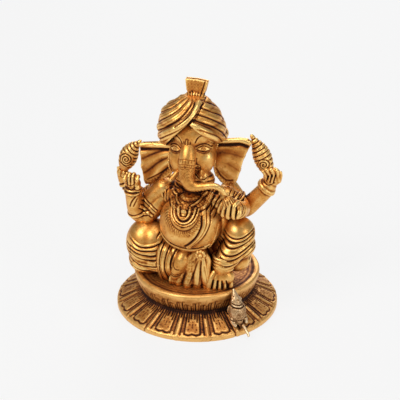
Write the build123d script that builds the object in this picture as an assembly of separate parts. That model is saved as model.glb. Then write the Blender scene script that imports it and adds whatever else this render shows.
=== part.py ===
"""Seated elephant-headed deity in a turban, on a round lotus base with a small mouse.

A cast brass figurine. The base is a hollow casting, open beneath. The figure is a
set of solid castings, fitted and brazed to each other, and held on the base's deck by
two screws from below. The mouse is a separate casting on its own stud, and turns on it.

Frame: origin at the centre of the base's underside, +Z up, the figure facing -Y.
All lengths are millimetres. A triple (x, y, rise) is measured from the middle of the
piece that it stands on, as each section says.
"""

import os
from math import cos, radians, sin

from build123d import *

# ---------------------------------------------------------------- driving dimensions
# Lotus base
base_radius = 66.2          # outer edge of the petalled flange
base_edge = 3.6             # height of the flange's plain edge band
base_height = 33.0          # top of the deck's rim
deck_radius = 51.3          # outside of the rim
rim_width = 5.4             # flat rim around the sunk deck
rim_step = 0.8              # depth of the sunk deck below the rim
cove_radius = 45.5          # waist between the drum and the flange
cove_low, cove_high = 13.6, 18.6
base_wall = 3.2

# Figure: plan radii and heights above the deck
seat_rise = 32.0            # top of the hips casting
belly_rise = 51.5
belly_radius = 25.5         # across the belly
belly_depth = 22.0          # front to back, half
belly_height = 25.0
belly_forward = 20.0        # how far the belly's middle stands in front of the axis
shoulder_rise = 71.5
shoulder_half = 28.0        # from the axis to the middle of a shoulder
chest_depth = 14.0
neck_radius = 8.5
head_rise = 111.0
head_forward = 12.0
head_radius = 19.0          # half the width across the cheeks
head_depth = 17.0
head_height = 25.5
ear_thickness = 4.0
ear_reach = 27.0            # how far an ear stands out past the cheek
turban_radius = 28.0
turban_rise = 127.0         # the turban's widest ring
turban_top = 155.0
turban_lean = 3.0           # the turban sits this far towards the right
crest_thickness = 6.0
figure_top = 168.0          # top of the crest above the deck

# Fits and fasteners
fit_gap = 0.15              # radial room round a brazed peg
running_gap = 0.06          # radial room round the mouse's stud
swing_gap = 0.4             # room under a piece that turns
peg_radius, peg_length = 2.6, 5.0
screw_radius, screw_head_radius, screw_head_height = 2.0, 3.6, 2.8
screw_spacing = 30.0
screw_grip = 12.0           # thread inside the hips casting
washer_radius, washer_thickness = 4.6, 0.8
stud_radius = 1.5
nut_radius, nut_height = 3.1, 2.4
mouse_washer_radius, mouse_washer_thickness = 3.5, 0.5

# Mouse
mouse_inset = 8.0           # from the flange's edge to the mouse's stud
mouse_bearing = -42.0       # degrees round from +X
mouse_pad_radius, mouse_pad_top = 5.2, 11.2
mouse_half_width = 7.4
mouse_height = 26.0         # from the pad to the tip of the snout

deck = base_height - rim_step


# ---------------------------------------------------------------- shape helpers
def blob(x, y, z, rx, ry, rz):
    """An ellipsoid by its middle and its three half sizes."""
    return Pos(x, y, z) * scale(Sphere(1), by=(rx, ry, rz))


def rod(start, end, r_start, r_end=None):
    """A straight round rod or taper between two points."""
    r_end = r_start if r_end is None else r_end
    start, end = Vector(*start), Vector(*end)
    run = end - start
    if abs(r_start - r_end) < 0.01:
        shape = Cylinder(r_start, run.length, align=(Align.CENTER, Align.CENTER, Align.MIN))
    else:
        shape = Cone(r_start, r_end, run.length, align=(Align.CENTER, Align.CENTER, Align.MIN))
    return Plane(origin=start, z_dir=run) * shape


def limb(*stations):
    """A rounded limb through stations (x, y, z, radius), a ball at each and a taper between."""
    joint_share = 0.97      # the tapers stand just inside the balls, so that the two cross
    shape = Pos(*stations[0][:3]) * Sphere(stations[0][3])
    for (*a, ra), (*b, rb) in zip(stations, stations[1:]):
        shape += rod(a, b, ra * joint_share, rb * joint_share)
        shape += Pos(*b) * Sphere(rb)
    return shape


def sleeve(*stations):
    """A smooth tube lofted through round stations (x, y, z, radius), square to its run."""
    points = [Vector(*station[:3]) for station in stations]
    sections = []
    for number, (*_, radius) in enumerate(stations):
        run = points[min(number + 1, len(points) - 1)] - points[max(number - 1, 0)]
        across = run.cross(Vector(0, 1, 0))
        sections.append(Plane(origin=points[number], x_dir=across, z_dir=run) * Circle(radius).face())
    return loft(sections)


def lifted(points, z):
    """Stations given above a level, as stations above the ground."""
    return [(x, y, rise + z, *rest) for x, y, rise, *rest in points]


def seated(piece, *neighbours):
    """The piece without what its neighbours fill, as its largest solid."""
    for other in neighbours:
        piece = piece - other
    return max(piece.solids(), key=lambda solid: solid.volume)


def turned(*edges):
    """A solid of revolution from a closed outline of (radius, height)."""
    pieces = [edge for run in edges for edge in run.edges()]
    return revolve(Plane.XZ * make_face(pieces), Axis.Z)


def plate(outline, thickness, y):
    """A flat plate standing across Y, its outline given in (x, z), its middle at y."""
    face = make_face(Polyline(*outline, close=True))
    return Pos(0, y + thickness / 2, 0) * extrude(Plane.XZ * face, thickness)


# ---------------------------------------------------------------- lotus base
mouse_radius = base_radius - mouse_inset
mouse_x = mouse_radius * cos(radians(mouse_bearing))
mouse_y = mouse_radius * sin(radians(mouse_bearing))
spot_face = mouse_pad_top - 5.8     # underside of the flange round the stud
screw_places = [(x, -8.0) for x in (-screw_spacing / 2, screw_spacing / 2)]


def base_plinth():
    """Flange with a cove and a drum above it, hollow and open beneath."""
    rim_in = deck_radius - rim_width
    outside = [
        Polyline((0, deck), (rim_in, deck), (rim_in + 0.6, base_height), (deck_radius - 2, base_height)),
        ThreePointArc(
            (deck_radius - 2, base_height),
            (deck_radius - 0.6, base_height - 0.7),
            (deck_radius, base_height - 2.2),
        ),
        Polyline(
            (deck_radius, base_height - 2.2), (deck_radius - 0.3, base_height - 4.6),
            (cove_radius + 3, cove_high + 2.4),
        ),
        ThreePointArc(
            (cove_radius + 3, cove_high + 2.4),
            (cove_radius, (cove_low + cove_high) / 2),
            (cove_radius + 1.5, cove_low),
        ),
        Polyline(
            (cove_radius + 1.5, cove_low), (base_radius - 1.8, base_edge + 1.3),
            (base_radius, base_edge), (base_radius, 0), (base_radius - base_wall, 0),
            (base_radius - base_wall, base_edge - 2.4),
            (cove_radius + 0.5, cove_low - base_wall - 0.6),
            (cove_radius - base_wall, cove_low - base_wall + 1.6),
            (cove_radius - base_wall, cove_high + 1.0),
            (deck_radius - base_wall - 1.0, base_height - 6.0),
            (deck_radius - base_wall - 1.6, deck - base_wall),
            (0, deck - base_wall), (0, deck),
        ),
    ]
    plinth = turned(*outside)
    pad = Pos(mouse_x, mouse_y, 0) * Cylinder(
        mouse_pad_radius, mouse_pad_top, align=(Align.CENTER, Align.CENTER, Align.MIN)
    )
    plinth += pad
    plinth -= rod((mouse_x, mouse_y, -1), (mouse_x, mouse_y, spot_face), mouse_pad_radius - 1.2)
    plinth -= rod((mouse_x, mouse_y, 0), (mouse_x, mouse_y, base_height), stud_radius + running_gap)
    for x, y in screw_places:
        plinth -= rod((x, y, deck - 2 * base_wall), (x, y, base_height), screw_radius + 0.25)
    return plinth.solid()


# ---------------------------------------------------------------- figure, above the deck
def hips_raw():
    """The waist casting that sits on the deck, with the pleated apron in front."""
    block = loft([
        Pos(0, -5, deck) * Ellipse(33, 24).face(),
        Pos(0, -5, deck + seat_rise) * Ellipse(25, 19).face(),
    ])
    fan = loft([
        Plane(origin=(6, -29, deck), z_dir=(0, 0, 1)) * Rectangle(25, 16).face(),
        Plane(origin=(9, -28, deck + seat_rise), z_dir=(0, 0, 1)) * Rectangle(8, 14).face(),
    ])
    return block + fan


def torso_raw():
    """Belly, chest and neck."""
    belly = blob(0, -belly_forward, deck + belly_rise, belly_radius, belly_depth, belly_height)
    chest = blob(0, -4, deck + shoulder_rise - 4, shoulder_half + 1, chest_depth, 14)
    back = blob(0, -5, deck + belly_rise - 4, belly_radius - 3, 16, 24)
    neck = rod(
        (0, -5, deck + shoulder_rise), (0, -head_forward + 3, deck + head_rise - head_height + 6),
        neck_radius + 1.5, neck_radius,
    )
    return belly + chest + back + neck


def right_leg_raw():
    """The folded leg: a high round knee, the shin across the front and the foot."""
    knee = blob(-39.5, -15, deck + 24, 16.5, 17, 20.5)
    stack = rod((-38.5, -14, deck), (-39.0, -14, deck + 22), 13.5, 15)
    shin = sleeve(*lifted([
        (-38, -16, 15, 13), (-26, -21, 14.5, 12), (-16, -26, 13.5, 10), (-9, -30, 10, 7), (-4, -32, 5, 4),
    ], deck))
    return knee + stack + shin


def left_leg_raw():
    """The raised knee with the shin down to a foot set flat on the deck."""
    return limb(*lifted([
        (24, -6, 26, 15), (38, -14, 42, 13.8), (35, -20, 26, 11.5), (29, -27, 17, 9),
        (28.5, -30, 6, 7.5),
    ], deck))


def above_deck(piece):
    """The part of a piece that is above the deck."""
    return piece - Pos(0, 0, deck - 50) * Box(300, 300, 100)


def arm_peg(side, y):
    """A shoulder peg, from inside the arm's shoulder into the torso."""
    x = side * shoulder_half
    z = deck + shoulder_rise
    return (x, y, z), (x - side * (peg_length + 4), y * 0.7, z)


def arm_raw(side, shoulder_y, stations):
    """An arm from its shoulder ball through its elbow and wrist."""
    shoulder = (side * shoulder_half, shoulder_y, shoulder_rise, 8.0)
    return limb(*lifted([shoulder] + stations, deck))


def ear_raw(side, rise_in, rise_tip, drop, tip_in):
    """A flat fan: root at the cheek, its top edge out to the tip and its lower corner."""
    root = head_radius - 4
    level = deck + head_rise
    outline = [
        (side * root, level + rise_in),
        (side * (head_radius + ear_reach * 0.55), level + (rise_in + rise_tip) / 2 + 2.5),
        (side * (head_radius + ear_reach), level + rise_tip),
        (side * (head_radius + ear_reach - tip_in), level - drop),
        (side * (head_radius + ear_reach - tip_in - 6), level - drop - 1.5),
        (side * root, level - head_height * 0.8),
    ]
    return plate(outline, ear_thickness, -head_forward + 6)


def turban_raw():
    """The wound turban, domed, with a flat top under the crest."""
    brim = deck + turban_rise - 10.5
    widest = deck + turban_rise
    crown = deck + turban_top
    edges = [
        Polyline((0, brim), (turban_radius - 3, brim)),
        ThreePointArc((turban_radius - 3, brim), (turban_radius, widest), (turban_radius - 3.5, widest + 9)),
        ThreePointArc(
            (turban_radius - 3.5, widest + 9), (turban_radius - 9.5, widest + 19.5), (9, crown),
        ),
        Polyline((9, crown), (0, crown), (0, brim)),
    ]
    return Pos(-turban_lean, -head_forward + 5.5, 0) * turned(*edges)


base = base_plinth()
hips = above_deck(hips_raw())
torso = torso_raw()
hips = seated(hips, torso)
right_leg = seated(above_deck(right_leg_raw()), base, hips, torso)
left_leg = seated(above_deck(left_leg_raw()), base, hips, torso, right_leg)

# The head is hollowed to sit on the neck and over the trunk's root.
head = blob(0, -head_forward, deck + head_rise, head_radius, head_depth, head_height)
head = seated(head, torso)
trunk_stations = [
    (0, -25.5, 3, 7.2), (-0.5, -29.5, -7, 7.0), (0, -31, -14.5, 6.6), (4.6, -32, -21, 5.9),
    (11.5, -32.5, -20.5, 5.2), (19, -32.5, -17.8, 4.6), (25, -32, -18.8, 4.0), (30.5, -31.3, -25, 3.0),
]
trunk = seated(sleeve(*lifted(trunk_stations, deck + head_rise)), head, torso)

turban = turban_raw()
brow_opening = plate(
    [(-20, deck + 112), (20, deck + 112), (1, deck + turban_rise + 13)], 22, -head_forward - 17
)
turban = seated(turban - brow_opening, head, trunk)

crest_base = deck + turban_top
crest = plate(
    [(-8, crest_base), (7, crest_base), (10, deck + figure_top), (-8.5, deck + figure_top)],
    crest_thickness, -2,
)
crest_peg = rod((-0.5, -2, crest_base + 1), (-0.5, -2, crest_base - peg_length), peg_radius)
turban = seated(turban, rod(
    (-0.5, -2, crest_base + 1), (-0.5, -2, crest_base - peg_length - fit_gap), peg_radius + fit_gap
))
crest = (crest + crest_peg).solid()

right_ear = seated(ear_raw(-1, 2, -3.5, 36.5, 5), head, turban)
left_ear = seated(ear_raw(1, 6, 13, 29.5, 14), head, turban)
head_level = deck + head_rise
right_tusk = seated(limb((-9.5, -21, head_level - 15, 2.6), (-14, -28, head_level - 20, 1.7)), head, trunk)
left_tusk = seated(limb((10, -22, head_level - 12, 2.8), (11.5, -31, head_level - 13.5, 1.6)), head, trunk)

# Arms: the front pair first, then the pair behind them.
front_y, rear_y = -7.0, 4.0
right_front_arm = arm_raw(-1, front_y, [
    (-44.5, -12, 48.5, 8.2), (-48, -18, 71, 6.6), (-48, -20.5, 81, 8.0), (-47.5, -21.5, 85.5, 5.0),
])
left_front_arm = arm_raw(1, front_y, [
    (37.5, -6, 64.5, 7.6), (38.5, -15, 62.5, 6.6), (35.5, -25, 66.5, 6.0), (34.5, -28, 71.5, 7.2),
])
right_rear_arm = arm_raw(-1, rear_y, [
    (-46, 3, 57, 7.4), (-60, 0, 70, 5.6), (-62, 0, 77.5, 5.4),
])
left_rear_arm = arm_raw(1, rear_y, [
    (36.5, 6, 56, 7.8), (55.5, 6, 75.5, 7.0), (60.3, 6, 89, 8.4),
])
arm_sides = [(-1, front_y), (1, front_y), (-1, rear_y), (1, rear_y)]
pegs = [rod(*arm_peg(side, y), peg_radius) for side, y in arm_sides]
right_front_arm = seated(right_front_arm, torso, right_leg)
left_front_arm = seated(left_front_arm, torso, left_leg)
right_rear_arm = seated(right_rear_arm, torso, right_front_arm)
left_rear_arm = seated(left_rear_arm, torso, left_front_arm)
right_ear = seated(right_ear, right_front_arm)
arms = [right_front_arm, left_front_arm, right_rear_arm, left_rear_arm]
for number, (side, y) in enumerate(arm_sides):
    start, end = arm_peg(side, y)
    torso = torso - rod(start, (end[0] - side * fit_gap, end[1], end[2]), peg_radius + fit_gap)
    arms[number] = (arms[number] + pegs[number]).solid()
right_front_arm, left_front_arm, right_rear_arm, left_rear_arm = arms
torso = torso.solid()

# What the hands hold.
left_conch = seated(sleeve(*lifted([
    (56.5, 5, 92, 4.2), (54, 5, 99, 6.6), (51.5, 5, 105.5, 7.4), (47.5, 5, 113, 5.2), (43, 5, 121, 1.6),
], deck)), left_rear_arm, left_ear)
right_conch = seated(sleeve(*lifted([
    (-60.5, -1, 83, 4.4), (-58.5, -1, 89, 7.2), (-55.5, -1, 95.5, 7.8), (-51, -2, 103, 5.0), (-46.3, -2, 109, 1.2),
], deck)), right_rear_arm, right_front_arm, right_ear)
sweet = seated(Pos(33.5, -31, deck + 79) * Sphere(5.0), trunk, left_front_arm)

# ---------------------------------------------------------------- mouse on its stud
mouse_floor = mouse_pad_top + swing_gap


def on_mouse(out, across, z):
    """A point given from the mouse's stud: outwards from the base's axis, across, and height."""
    a = radians(mouse_bearing)
    return (
        mouse_x + out * cos(a) - across * sin(a),
        mouse_y + out * sin(a) + across * cos(a),
        z,
    )


def mouse_casting():
    """A mouse sitting up with its back outwards: round body, tapering head, long tail."""
    z = mouse_pad_top
    body = Pos(*on_mouse(0.3, 0, z + 7.8)) * Rot(0, 0, mouse_bearing) * scale(
        Sphere(1), by=(7.0, mouse_half_width, 10.5)
    )
    head_part = limb(
        (*on_mouse(-0.8, 0, z + 14), 4.8),
        (*on_mouse(-4.9, 0, z + mouse_height - 0.9), 0.9),
    )
    rump = limb((*on_mouse(3.0, 0, z - 0.2), 3.3), (*on_mouse(4.6, 0, z - 2.4), 1.9))
    tail = limb(
        (*on_mouse(4.5, 1.5, z - 3.2), 1.5),
        (*on_mouse(11.0, 0.5, z - 4.6), 1.3),
        (*on_mouse(17.3, 0, z - 7.2), 0.9),
    )
    shape = body + head_part + rump + tail
    floor = rod((mouse_x, mouse_y, -20), (mouse_x, mouse_y, mouse_floor), mouse_pad_radius - 0.4)
    under = Pos(*on_mouse(-10, 0, mouse_floor - 15)) * Rot(0, 0, mouse_bearing) * Box(22, 30, 30)
    pad_room = rod((mouse_x, mouse_y, 0), (mouse_x, mouse_y, mouse_floor), mouse_pad_radius + swing_gap)
    stud_hole = rod((mouse_x, mouse_y, 0), (mouse_x, mouse_y, mouse_floor + 9), stud_radius)
    return seated(shape, floor, under, pad_room, stud_hole)


mouse = mouse_casting()
washer_top = spot_face - swing_gap
mouse_stud = rod(
    (mouse_x, mouse_y, washer_top - mouse_washer_thickness - nut_height - 0.6),
    (mouse_x, mouse_y, mouse_floor + 9), stud_radius,
)
mouse_washer = Pos(mouse_x, mouse_y, washer_top - mouse_washer_thickness / 2) * Cylinder(
    mouse_washer_radius, mouse_washer_thickness
)
mouse_washer -= mouse_stud
nut_middle = washer_top - mouse_washer_thickness - nut_height / 2
mouse_nut = Pos(mouse_x, mouse_y, nut_middle - nut_height / 2) * extrude(
    RegularPolygon(nut_radius, 6), nut_height
)
mouse_nut -= mouse_stud

# ---------------------------------------------------------------- screws under the deck
screws, washers, tapped = [], [], []
under_deck = deck - base_wall
for x, y in screw_places:
    head_top = under_deck - washer_thickness
    shank = rod((x, y, head_top - 0.5), (x, y, deck + screw_grip), screw_radius)
    cap = rod((x, y, head_top - screw_head_height), (x, y, head_top), screw_head_radius)
    slot = Pos(x, y, head_top - screw_head_height) * Box(1.0, 9.0, 2.0)
    ring = rod((x, y, head_top), (x, y, under_deck), washer_radius) - rod(
        (x, y, head_top - 1), (x, y, under_deck + 1), screw_radius + 0.2
    )
    screws.append((shank + cap - slot).solid())
    washers.append(ring.solid())
    hips -= rod((x, y, deck - 1), (x, y, deck + screw_grip + 0.8), screw_radius)
hips = hips.solid()

nodes = {
    "base_plinth": base,
    "hips_casting": hips,
    "right_leg": right_leg,
    "left_leg": left_leg,
    "torso": torso,
    "head": head,
    "trunk": trunk,
    "right_tusk": right_tusk,
    "left_tusk": left_tusk,
    "right_ear": right_ear,
    "left_ear": left_ear,
    "turban": turban,
    "turban_crest": crest,
    "right_front_arm": right_front_arm,
    "left_front_arm": left_front_arm,
    "right_rear_arm": right_rear_arm,
    "left_rear_arm": left_rear_arm,
    "right_hand_conch": right_conch,
    "left_hand_conch": left_conch,
    "sweet_ball": sweet,
    "mouse": mouse,
    "mouse_stud": mouse_stud,
    "mouse_washer": mouse_washer,
    "mouse_nut": mouse_nut,
    "figure_screws": Compound(screws),
    "figure_washers": Compound(washers),
}
os.makedirs("parts", exist_ok=True)
for name, shape in nodes.items():
    export_step(shape, f"parts/{name}.step")
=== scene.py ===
"""Looks for the seated elephant-headed deity: antiqued cast brass, sculpted piece by piece.

Every casting is pressed together from lumps and tubes of clay, fused into one skin, and
then tooled: grooves, bands, folds and dimples move the skin along its normals. What the
tools cut, and what lies hollow, takes the dark antiquing; what stands proud is rubbed bright.
"""

from math import cos, pi, radians, sin, sqrt

import bmesh
import bpy
import numpy as np
from mathutils import Euler, Matrix, Vector


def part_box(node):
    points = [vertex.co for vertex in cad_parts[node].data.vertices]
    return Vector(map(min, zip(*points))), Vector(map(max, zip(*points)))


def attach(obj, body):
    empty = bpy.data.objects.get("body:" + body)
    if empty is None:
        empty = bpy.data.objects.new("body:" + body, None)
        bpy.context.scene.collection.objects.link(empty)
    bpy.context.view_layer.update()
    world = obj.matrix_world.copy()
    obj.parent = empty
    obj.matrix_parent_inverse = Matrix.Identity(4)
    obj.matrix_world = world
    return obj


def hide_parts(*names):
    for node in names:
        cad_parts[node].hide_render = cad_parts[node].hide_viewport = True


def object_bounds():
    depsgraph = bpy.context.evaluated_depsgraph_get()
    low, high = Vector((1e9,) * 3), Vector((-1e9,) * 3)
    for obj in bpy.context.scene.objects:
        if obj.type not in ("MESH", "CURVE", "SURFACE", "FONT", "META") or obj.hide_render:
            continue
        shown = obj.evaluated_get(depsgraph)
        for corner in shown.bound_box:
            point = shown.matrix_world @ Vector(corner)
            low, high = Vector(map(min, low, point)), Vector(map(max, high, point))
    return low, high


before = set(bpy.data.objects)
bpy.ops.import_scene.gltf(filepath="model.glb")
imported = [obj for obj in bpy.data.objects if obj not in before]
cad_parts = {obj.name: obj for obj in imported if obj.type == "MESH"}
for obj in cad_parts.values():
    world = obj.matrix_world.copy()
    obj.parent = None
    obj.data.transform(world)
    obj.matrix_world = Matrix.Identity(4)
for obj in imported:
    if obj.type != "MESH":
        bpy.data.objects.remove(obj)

MM = 0.001
FINENESS = 1.35  # cell of every skin against the size that its piece asks for
CROWD_FREE = 2.2  # crowding of an open surface, which gets no painted shade
CROWD_DEEP = 5.0  # and how much more of it takes the full painted shade
cad_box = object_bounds()


# ------------------------------------------------------------------ places and small maths
def middle(node):
    """The middle of a CAD node's box."""
    low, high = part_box(node)
    return (low + high) / 2


def drawn_round(node, x, y, z):
    """Drawing millimetres to the frame, for a piece drawn with its node's middle at x, y, z."""
    shift = middle(node) - Vector((x, y, z)) * MM
    return lambda px, py, pz: Vector((px, py, pz)) * MM + shift


def smooth_path(points, step):
    """Rows of numbers along a Catmull-Rom curve through the rows given, about a step apart."""
    rows = np.array(points, float)
    ends = np.vstack([2 * rows[0] - rows[1], rows, 2 * rows[-1] - rows[-2]])
    out = []
    for a, b, c, d in zip(ends, ends[1:], ends[2:], ends[3:]):
        count = max(2, int(np.linalg.norm((c - b)[:3]) / step))
        t = np.linspace(0, 1, count, endpoint=False)[:, None]
        out.append(0.5 * (2 * b + (c - a) * t + (2 * a - 5 * b + 4 * c - d) * t**2
                          + (3 * b - a - 3 * c + d) * t**3))
    return np.vstack(out + [rows[-1:]])


def arc(x, z, radius, start, end, squash=1.0, count=18):
    """Points (x, z) of an arc about a centre, its angles in degrees from +x towards +z."""
    angles = np.radians(np.linspace(start, end, count))
    return np.stack([x + radius * np.cos(angles), z + radius * squash * np.sin(angles)], 1)


def ease(value, low, high):
    """0 below low, 1 above high, and smooth between."""
    t = np.clip((value - low) / (high - low), 0, 1)
    return t * t * (3 - 2 * t)


def valleys(field, pitch, width):
    """1 along the valleys of a field that repeats every pitch, 0 between them."""
    off = np.abs((field / pitch + 0.5) % 1 - 0.5) * pitch
    return np.exp(-((off / width) ** 2))


def ripple(places, pitch, seed=0.0):
    """A smooth uneven wave over places, about -1 to 1, for hand-made irregularity."""
    x, y, z = (places / pitch).T
    return (np.sin(1.7 * x + 2.3 * y + seed) + np.sin(2.1 * y - 1.3 * z + 1.7 * seed)
            + np.sin(1.9 * z + 1.1 * x - 0.6 * seed)) / 3


# ------------------------------------------------------------------ clay and skin
class Clay:
    """Lumps in one bmesh, drawn in millimetres about a CAD node."""

    def __init__(self, at):
        self.at = at
        self.mesh = bmesh.new()

    def ball(self, place, size, turn=(0, 0, 0), detail=4):
        size = (size,) * 3 if isinstance(size, (int, float)) else size
        matrix = Matrix.LocRotScale(
            self.at(*place), Euler([radians(a) for a in turn]), Vector(size) * MM
        )
        bmesh.ops.create_icosphere(self.mesh, subdivisions=detail, radius=1, matrix=matrix)

    def tube(self, stations):
        """A round run of varying radius through stations (x, y, z, radius)."""
        thin = min(station[3] for station in stations)
        detail = 3 if max(station[3] for station in stations) > 2.8 else 2
        path = smooth_path(stations, max(0.28 * thin, 0.4))
        for part in np.array_split(path, max(1, len(path) // 24)):
            run = bmesh.new()
            for x, y, z, r in part:
                matrix = Matrix.Translation(self.at(x, y, z)) @ Matrix.Scale(r * MM, 4)
                bmesh.ops.create_icosphere(run, subdivisions=detail, radius=1, matrix=matrix)
            rolled = bpy.data.meshes.new("run")
            run.to_mesh(rolled)
            run.free()
            self.mesh.from_mesh(rolled)
            bpy.data.meshes.remove(rolled)

    def slab(self, outline, thickness, y):
        """A plate across Y from an outline of (x, z), swollen a little by its edges' rounding later."""
        corners = [self.mesh.verts.new(self.at(px, y - thickness / 2, pz)) for px, pz in outline]
        face = self.mesh.faces.new(corners)
        grown = bmesh.ops.extrude_face_region(self.mesh, geom=[face])
        moved = [item for item in grown["geom"] if isinstance(item, bmesh.types.BMVert)]
        bmesh.ops.translate(self.mesh, verts=moved, vec=Vector((0, thickness * MM, 0)))
        bmesh.ops.recalc_face_normals(self.mesh, faces=self.mesh.faces)

    def skin(self, name, voxel=0.45, soften=3):
        """All the lumps fused into one even skin."""
        rough = object_from(self.mesh, name)
        fuse = rough.modifiers.new("fuse", "REMESH")
        fuse.mode = "VOXEL"
        fuse.voxel_size = voxel * MM * FINENESS
        shape = rough.evaluated_get(bpy.context.evaluated_depsgraph_get())
        mesh = bpy.data.meshes.new_from_object(shape)
        bpy.data.objects.remove(rough)
        made = bpy.data.objects.new(name, mesh)
        bpy.context.scene.collection.objects.link(made)
        skin = Skin(made, self.at)
        skin.relax(soften)
        return skin


def object_from(mesh, name):
    """A new object from a finished bmesh."""
    data = bpy.data.meshes.new(name)
    mesh.to_mesh(data)
    mesh.free()
    made = bpy.data.objects.new(name, data)
    bpy.context.scene.collection.objects.link(made)
    return made


class Skin:
    """A fused skin, tooled by moving its points along their normals. Numbers are drawing millimetres."""

    def __init__(self, made, at):
        self.object = made
        self.offset = np.array(at(0, 0, 0)) / MM
        mesh = made.data
        flat = np.empty(len(mesh.vertices) * 3)
        mesh.vertices.foreach_get("co", flat)
        self.points = flat.reshape(-1, 3) / MM - self.offset
        ends = np.empty(len(mesh.edges) * 2, int)
        mesh.edges.foreach_get("vertices", ends)
        self.ends = ends.reshape(-1, 2)
        self.links = np.bincount(self.ends.ravel(), minlength=len(self.points))[:, None]
        self.lift = np.zeros(len(self.points))
        self.dark = np.zeros(len(self.points))
        # share of the painted occlusion shade that each point is spared
        self.spared_painted_shade = np.zeros(len(self.points))
        self.write()

    def write(self):
        """Puts the points back in the mesh and reads their normals."""
        mesh = self.object.data
        mesh.vertices.foreach_set("co", ((self.points + self.offset) * MM).ravel())
        mesh.update()
        flat = np.empty(len(self.points) * 3)
        mesh.vertex_normals.foreach_get("vector", flat)
        self.normals = flat.reshape(-1, 3)

    def area(self):
        """The skin's whole area in square millimetres."""
        faces = np.empty(len(self.object.data.polygons))
        self.object.data.polygons.foreach_get("area", faces)
        return faces.sum() / MM**2

    def neighbours_mean(self, values):
        a, b = self.ends.T
        total = np.stack([
            np.bincount(a, values[b, i], len(values)) + np.bincount(b, values[a, i], len(values))
            for i in range(values.shape[1])
        ], 1)
        return total / np.maximum(self.links, 1)

    def relax(self, rounds, share=0.6):
        for _ in range(rounds):
            self.points += share * (self.neighbours_mean(self.points) - self.points)
        self.write()

    def press(self):
        """Carries out the tooling gathered so far."""
        self.points += self.normals * self.lift[:, None]
        self.lift[:] = 0
        self.write()

    def add(self, height, dark=0.0):
        self.lift += height
        self.dark += dark

    def cut(self, shape, depth, dark=1.0):
        """Sinks where shape is 1, and darkens there."""
        self.lift -= depth * shape
        self.dark = np.maximum(self.dark, dark * shape)

    def to_line(self, line, facing=None):
        """Distance of every point from a line of places, seen along facing if that is given."""
        line = np.array(line, float)
        points = self.points
        if facing is not None:
            look = np.array(facing, float) / np.linalg.norm(facing)
            points = points - np.outer(points @ look, look)
            line = line - np.outer(line @ look, look)
        best = np.full(len(points), 1e9)
        low, high = line.min(0) - 3, line.max(0) + 3
        close = np.all((points > low) & (points < high), 1)
        near = points[close]
        reach = np.full(len(near), 1e9)
        for a, b in zip(line[:-1], line[1:]):
            run = b - a
            t = np.clip((near - a) @ run / max(run @ run, 1e-9), 0, 1)
            reach = np.minimum(reach, np.linalg.norm(near - a - t[:, None] * run, axis=1))
        best[close] = reach
        if facing is not None:
            best[self.normals @ look > -0.05] = 1e9
        return best

    def scribe(self, line, width, depth, facing=(0, 1, 0), dark=1.0):
        """A groove along a line of (x, z) drawn on the front, or of places when facing is None."""
        if facing is not None and len(line[0]) == 2:
            line = [(x, 0, z) for x, z in line]
        self.cut(np.exp(-((self.to_line(line, facing) / width) ** 2)), depth, dark)

    def cord(self, line, width, height, facing=(0, 1, 0), edge=0.0):
        """A raised cord along a line, with a dark groove on both sides if edge is given."""
        if facing is not None and len(line[0]) == 2:
            line = [(x, 0, z) for x, z in line]
        off = self.to_line(line, facing)
        self.lift += height * np.sqrt(np.clip(1 - (off / width) ** 2, 0, 1))
        if edge:
            self.cut(np.exp(-(((off - width * 1.15) / (0.35 * width)) ** 2)), edge)

    def hoop(self, start, end, share, width, height, edge=0.35, reach=12.0):
        """A raised band round a limb that runs from start to end, at a share of the way."""
        start, end = np.array(start, float), np.array(end, float)
        run = end - start
        length = np.linalg.norm(run)
        from_start = self.points - start
        along = from_start @ (run / length)
        out = np.linalg.norm(from_start - np.outer(along, run / length), axis=1)
        off = np.abs(along - share * length)
        near = out < reach
        self.lift += near * height * np.clip(1 - (off / width) ** 4, 0, 1)
        self.cut(near * np.exp(-(((off - width * 1.1) / 0.45) ** 2)), edge)

    def dimple(self, place, radius, depth, dark=0.0):
        off = np.linalg.norm(self.points - np.array(place, float), axis=1)
        shape = np.exp(-((off / radius) ** 2))
        self.cut(shape, depth, dark)

    def stipple(self, where, pitch, depth, seed=0.0, dark=0.5):
        """Small punched dots wherever where is 1."""
        x, y, z = (self.points / pitch * 2 * pi).T
        dots = np.clip((np.sin(x + seed) * np.sin(z + 0.4 * y) + 0.35 * np.sin(2.3 * y - x)) * 1.3, 0, 1)
        self.cut(where * dots, depth, dark)

    def antique(self, strength=1.0):
        """Writes the patina, with the painted shade and light gathered in dark: dark in hollows and cuts,
        bright on what stands proud.
        """
        self.press()
        hollow = np.zeros(len(self.points))
        spread = self.points.copy()
        passed = 0
        for rounds, weight in ((3, 2.2), (10, 1.1), (34, 0.42)):
            for _ in range(rounds - passed):
                spread += 0.7 * (self.neighbours_mean(spread) - spread)
            passed = rounds
            hollow += weight * np.einsum("ij,ij->i", spread - self.points, self.normals)
        patina_and_painted_shade = np.clip(0.36 + strength * hollow + 0.52 * self.dark, 0, 1.3)
        for _ in range(2):
            patina_and_painted_shade = 0.5 * patina_and_painted_shade + 0.5 * self.neighbours_mean(patina_and_painted_shade[:, None])[:, 0]
        self.patina_and_painted_shade = patina_and_painted_shade
        tooled.append(self)


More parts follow.
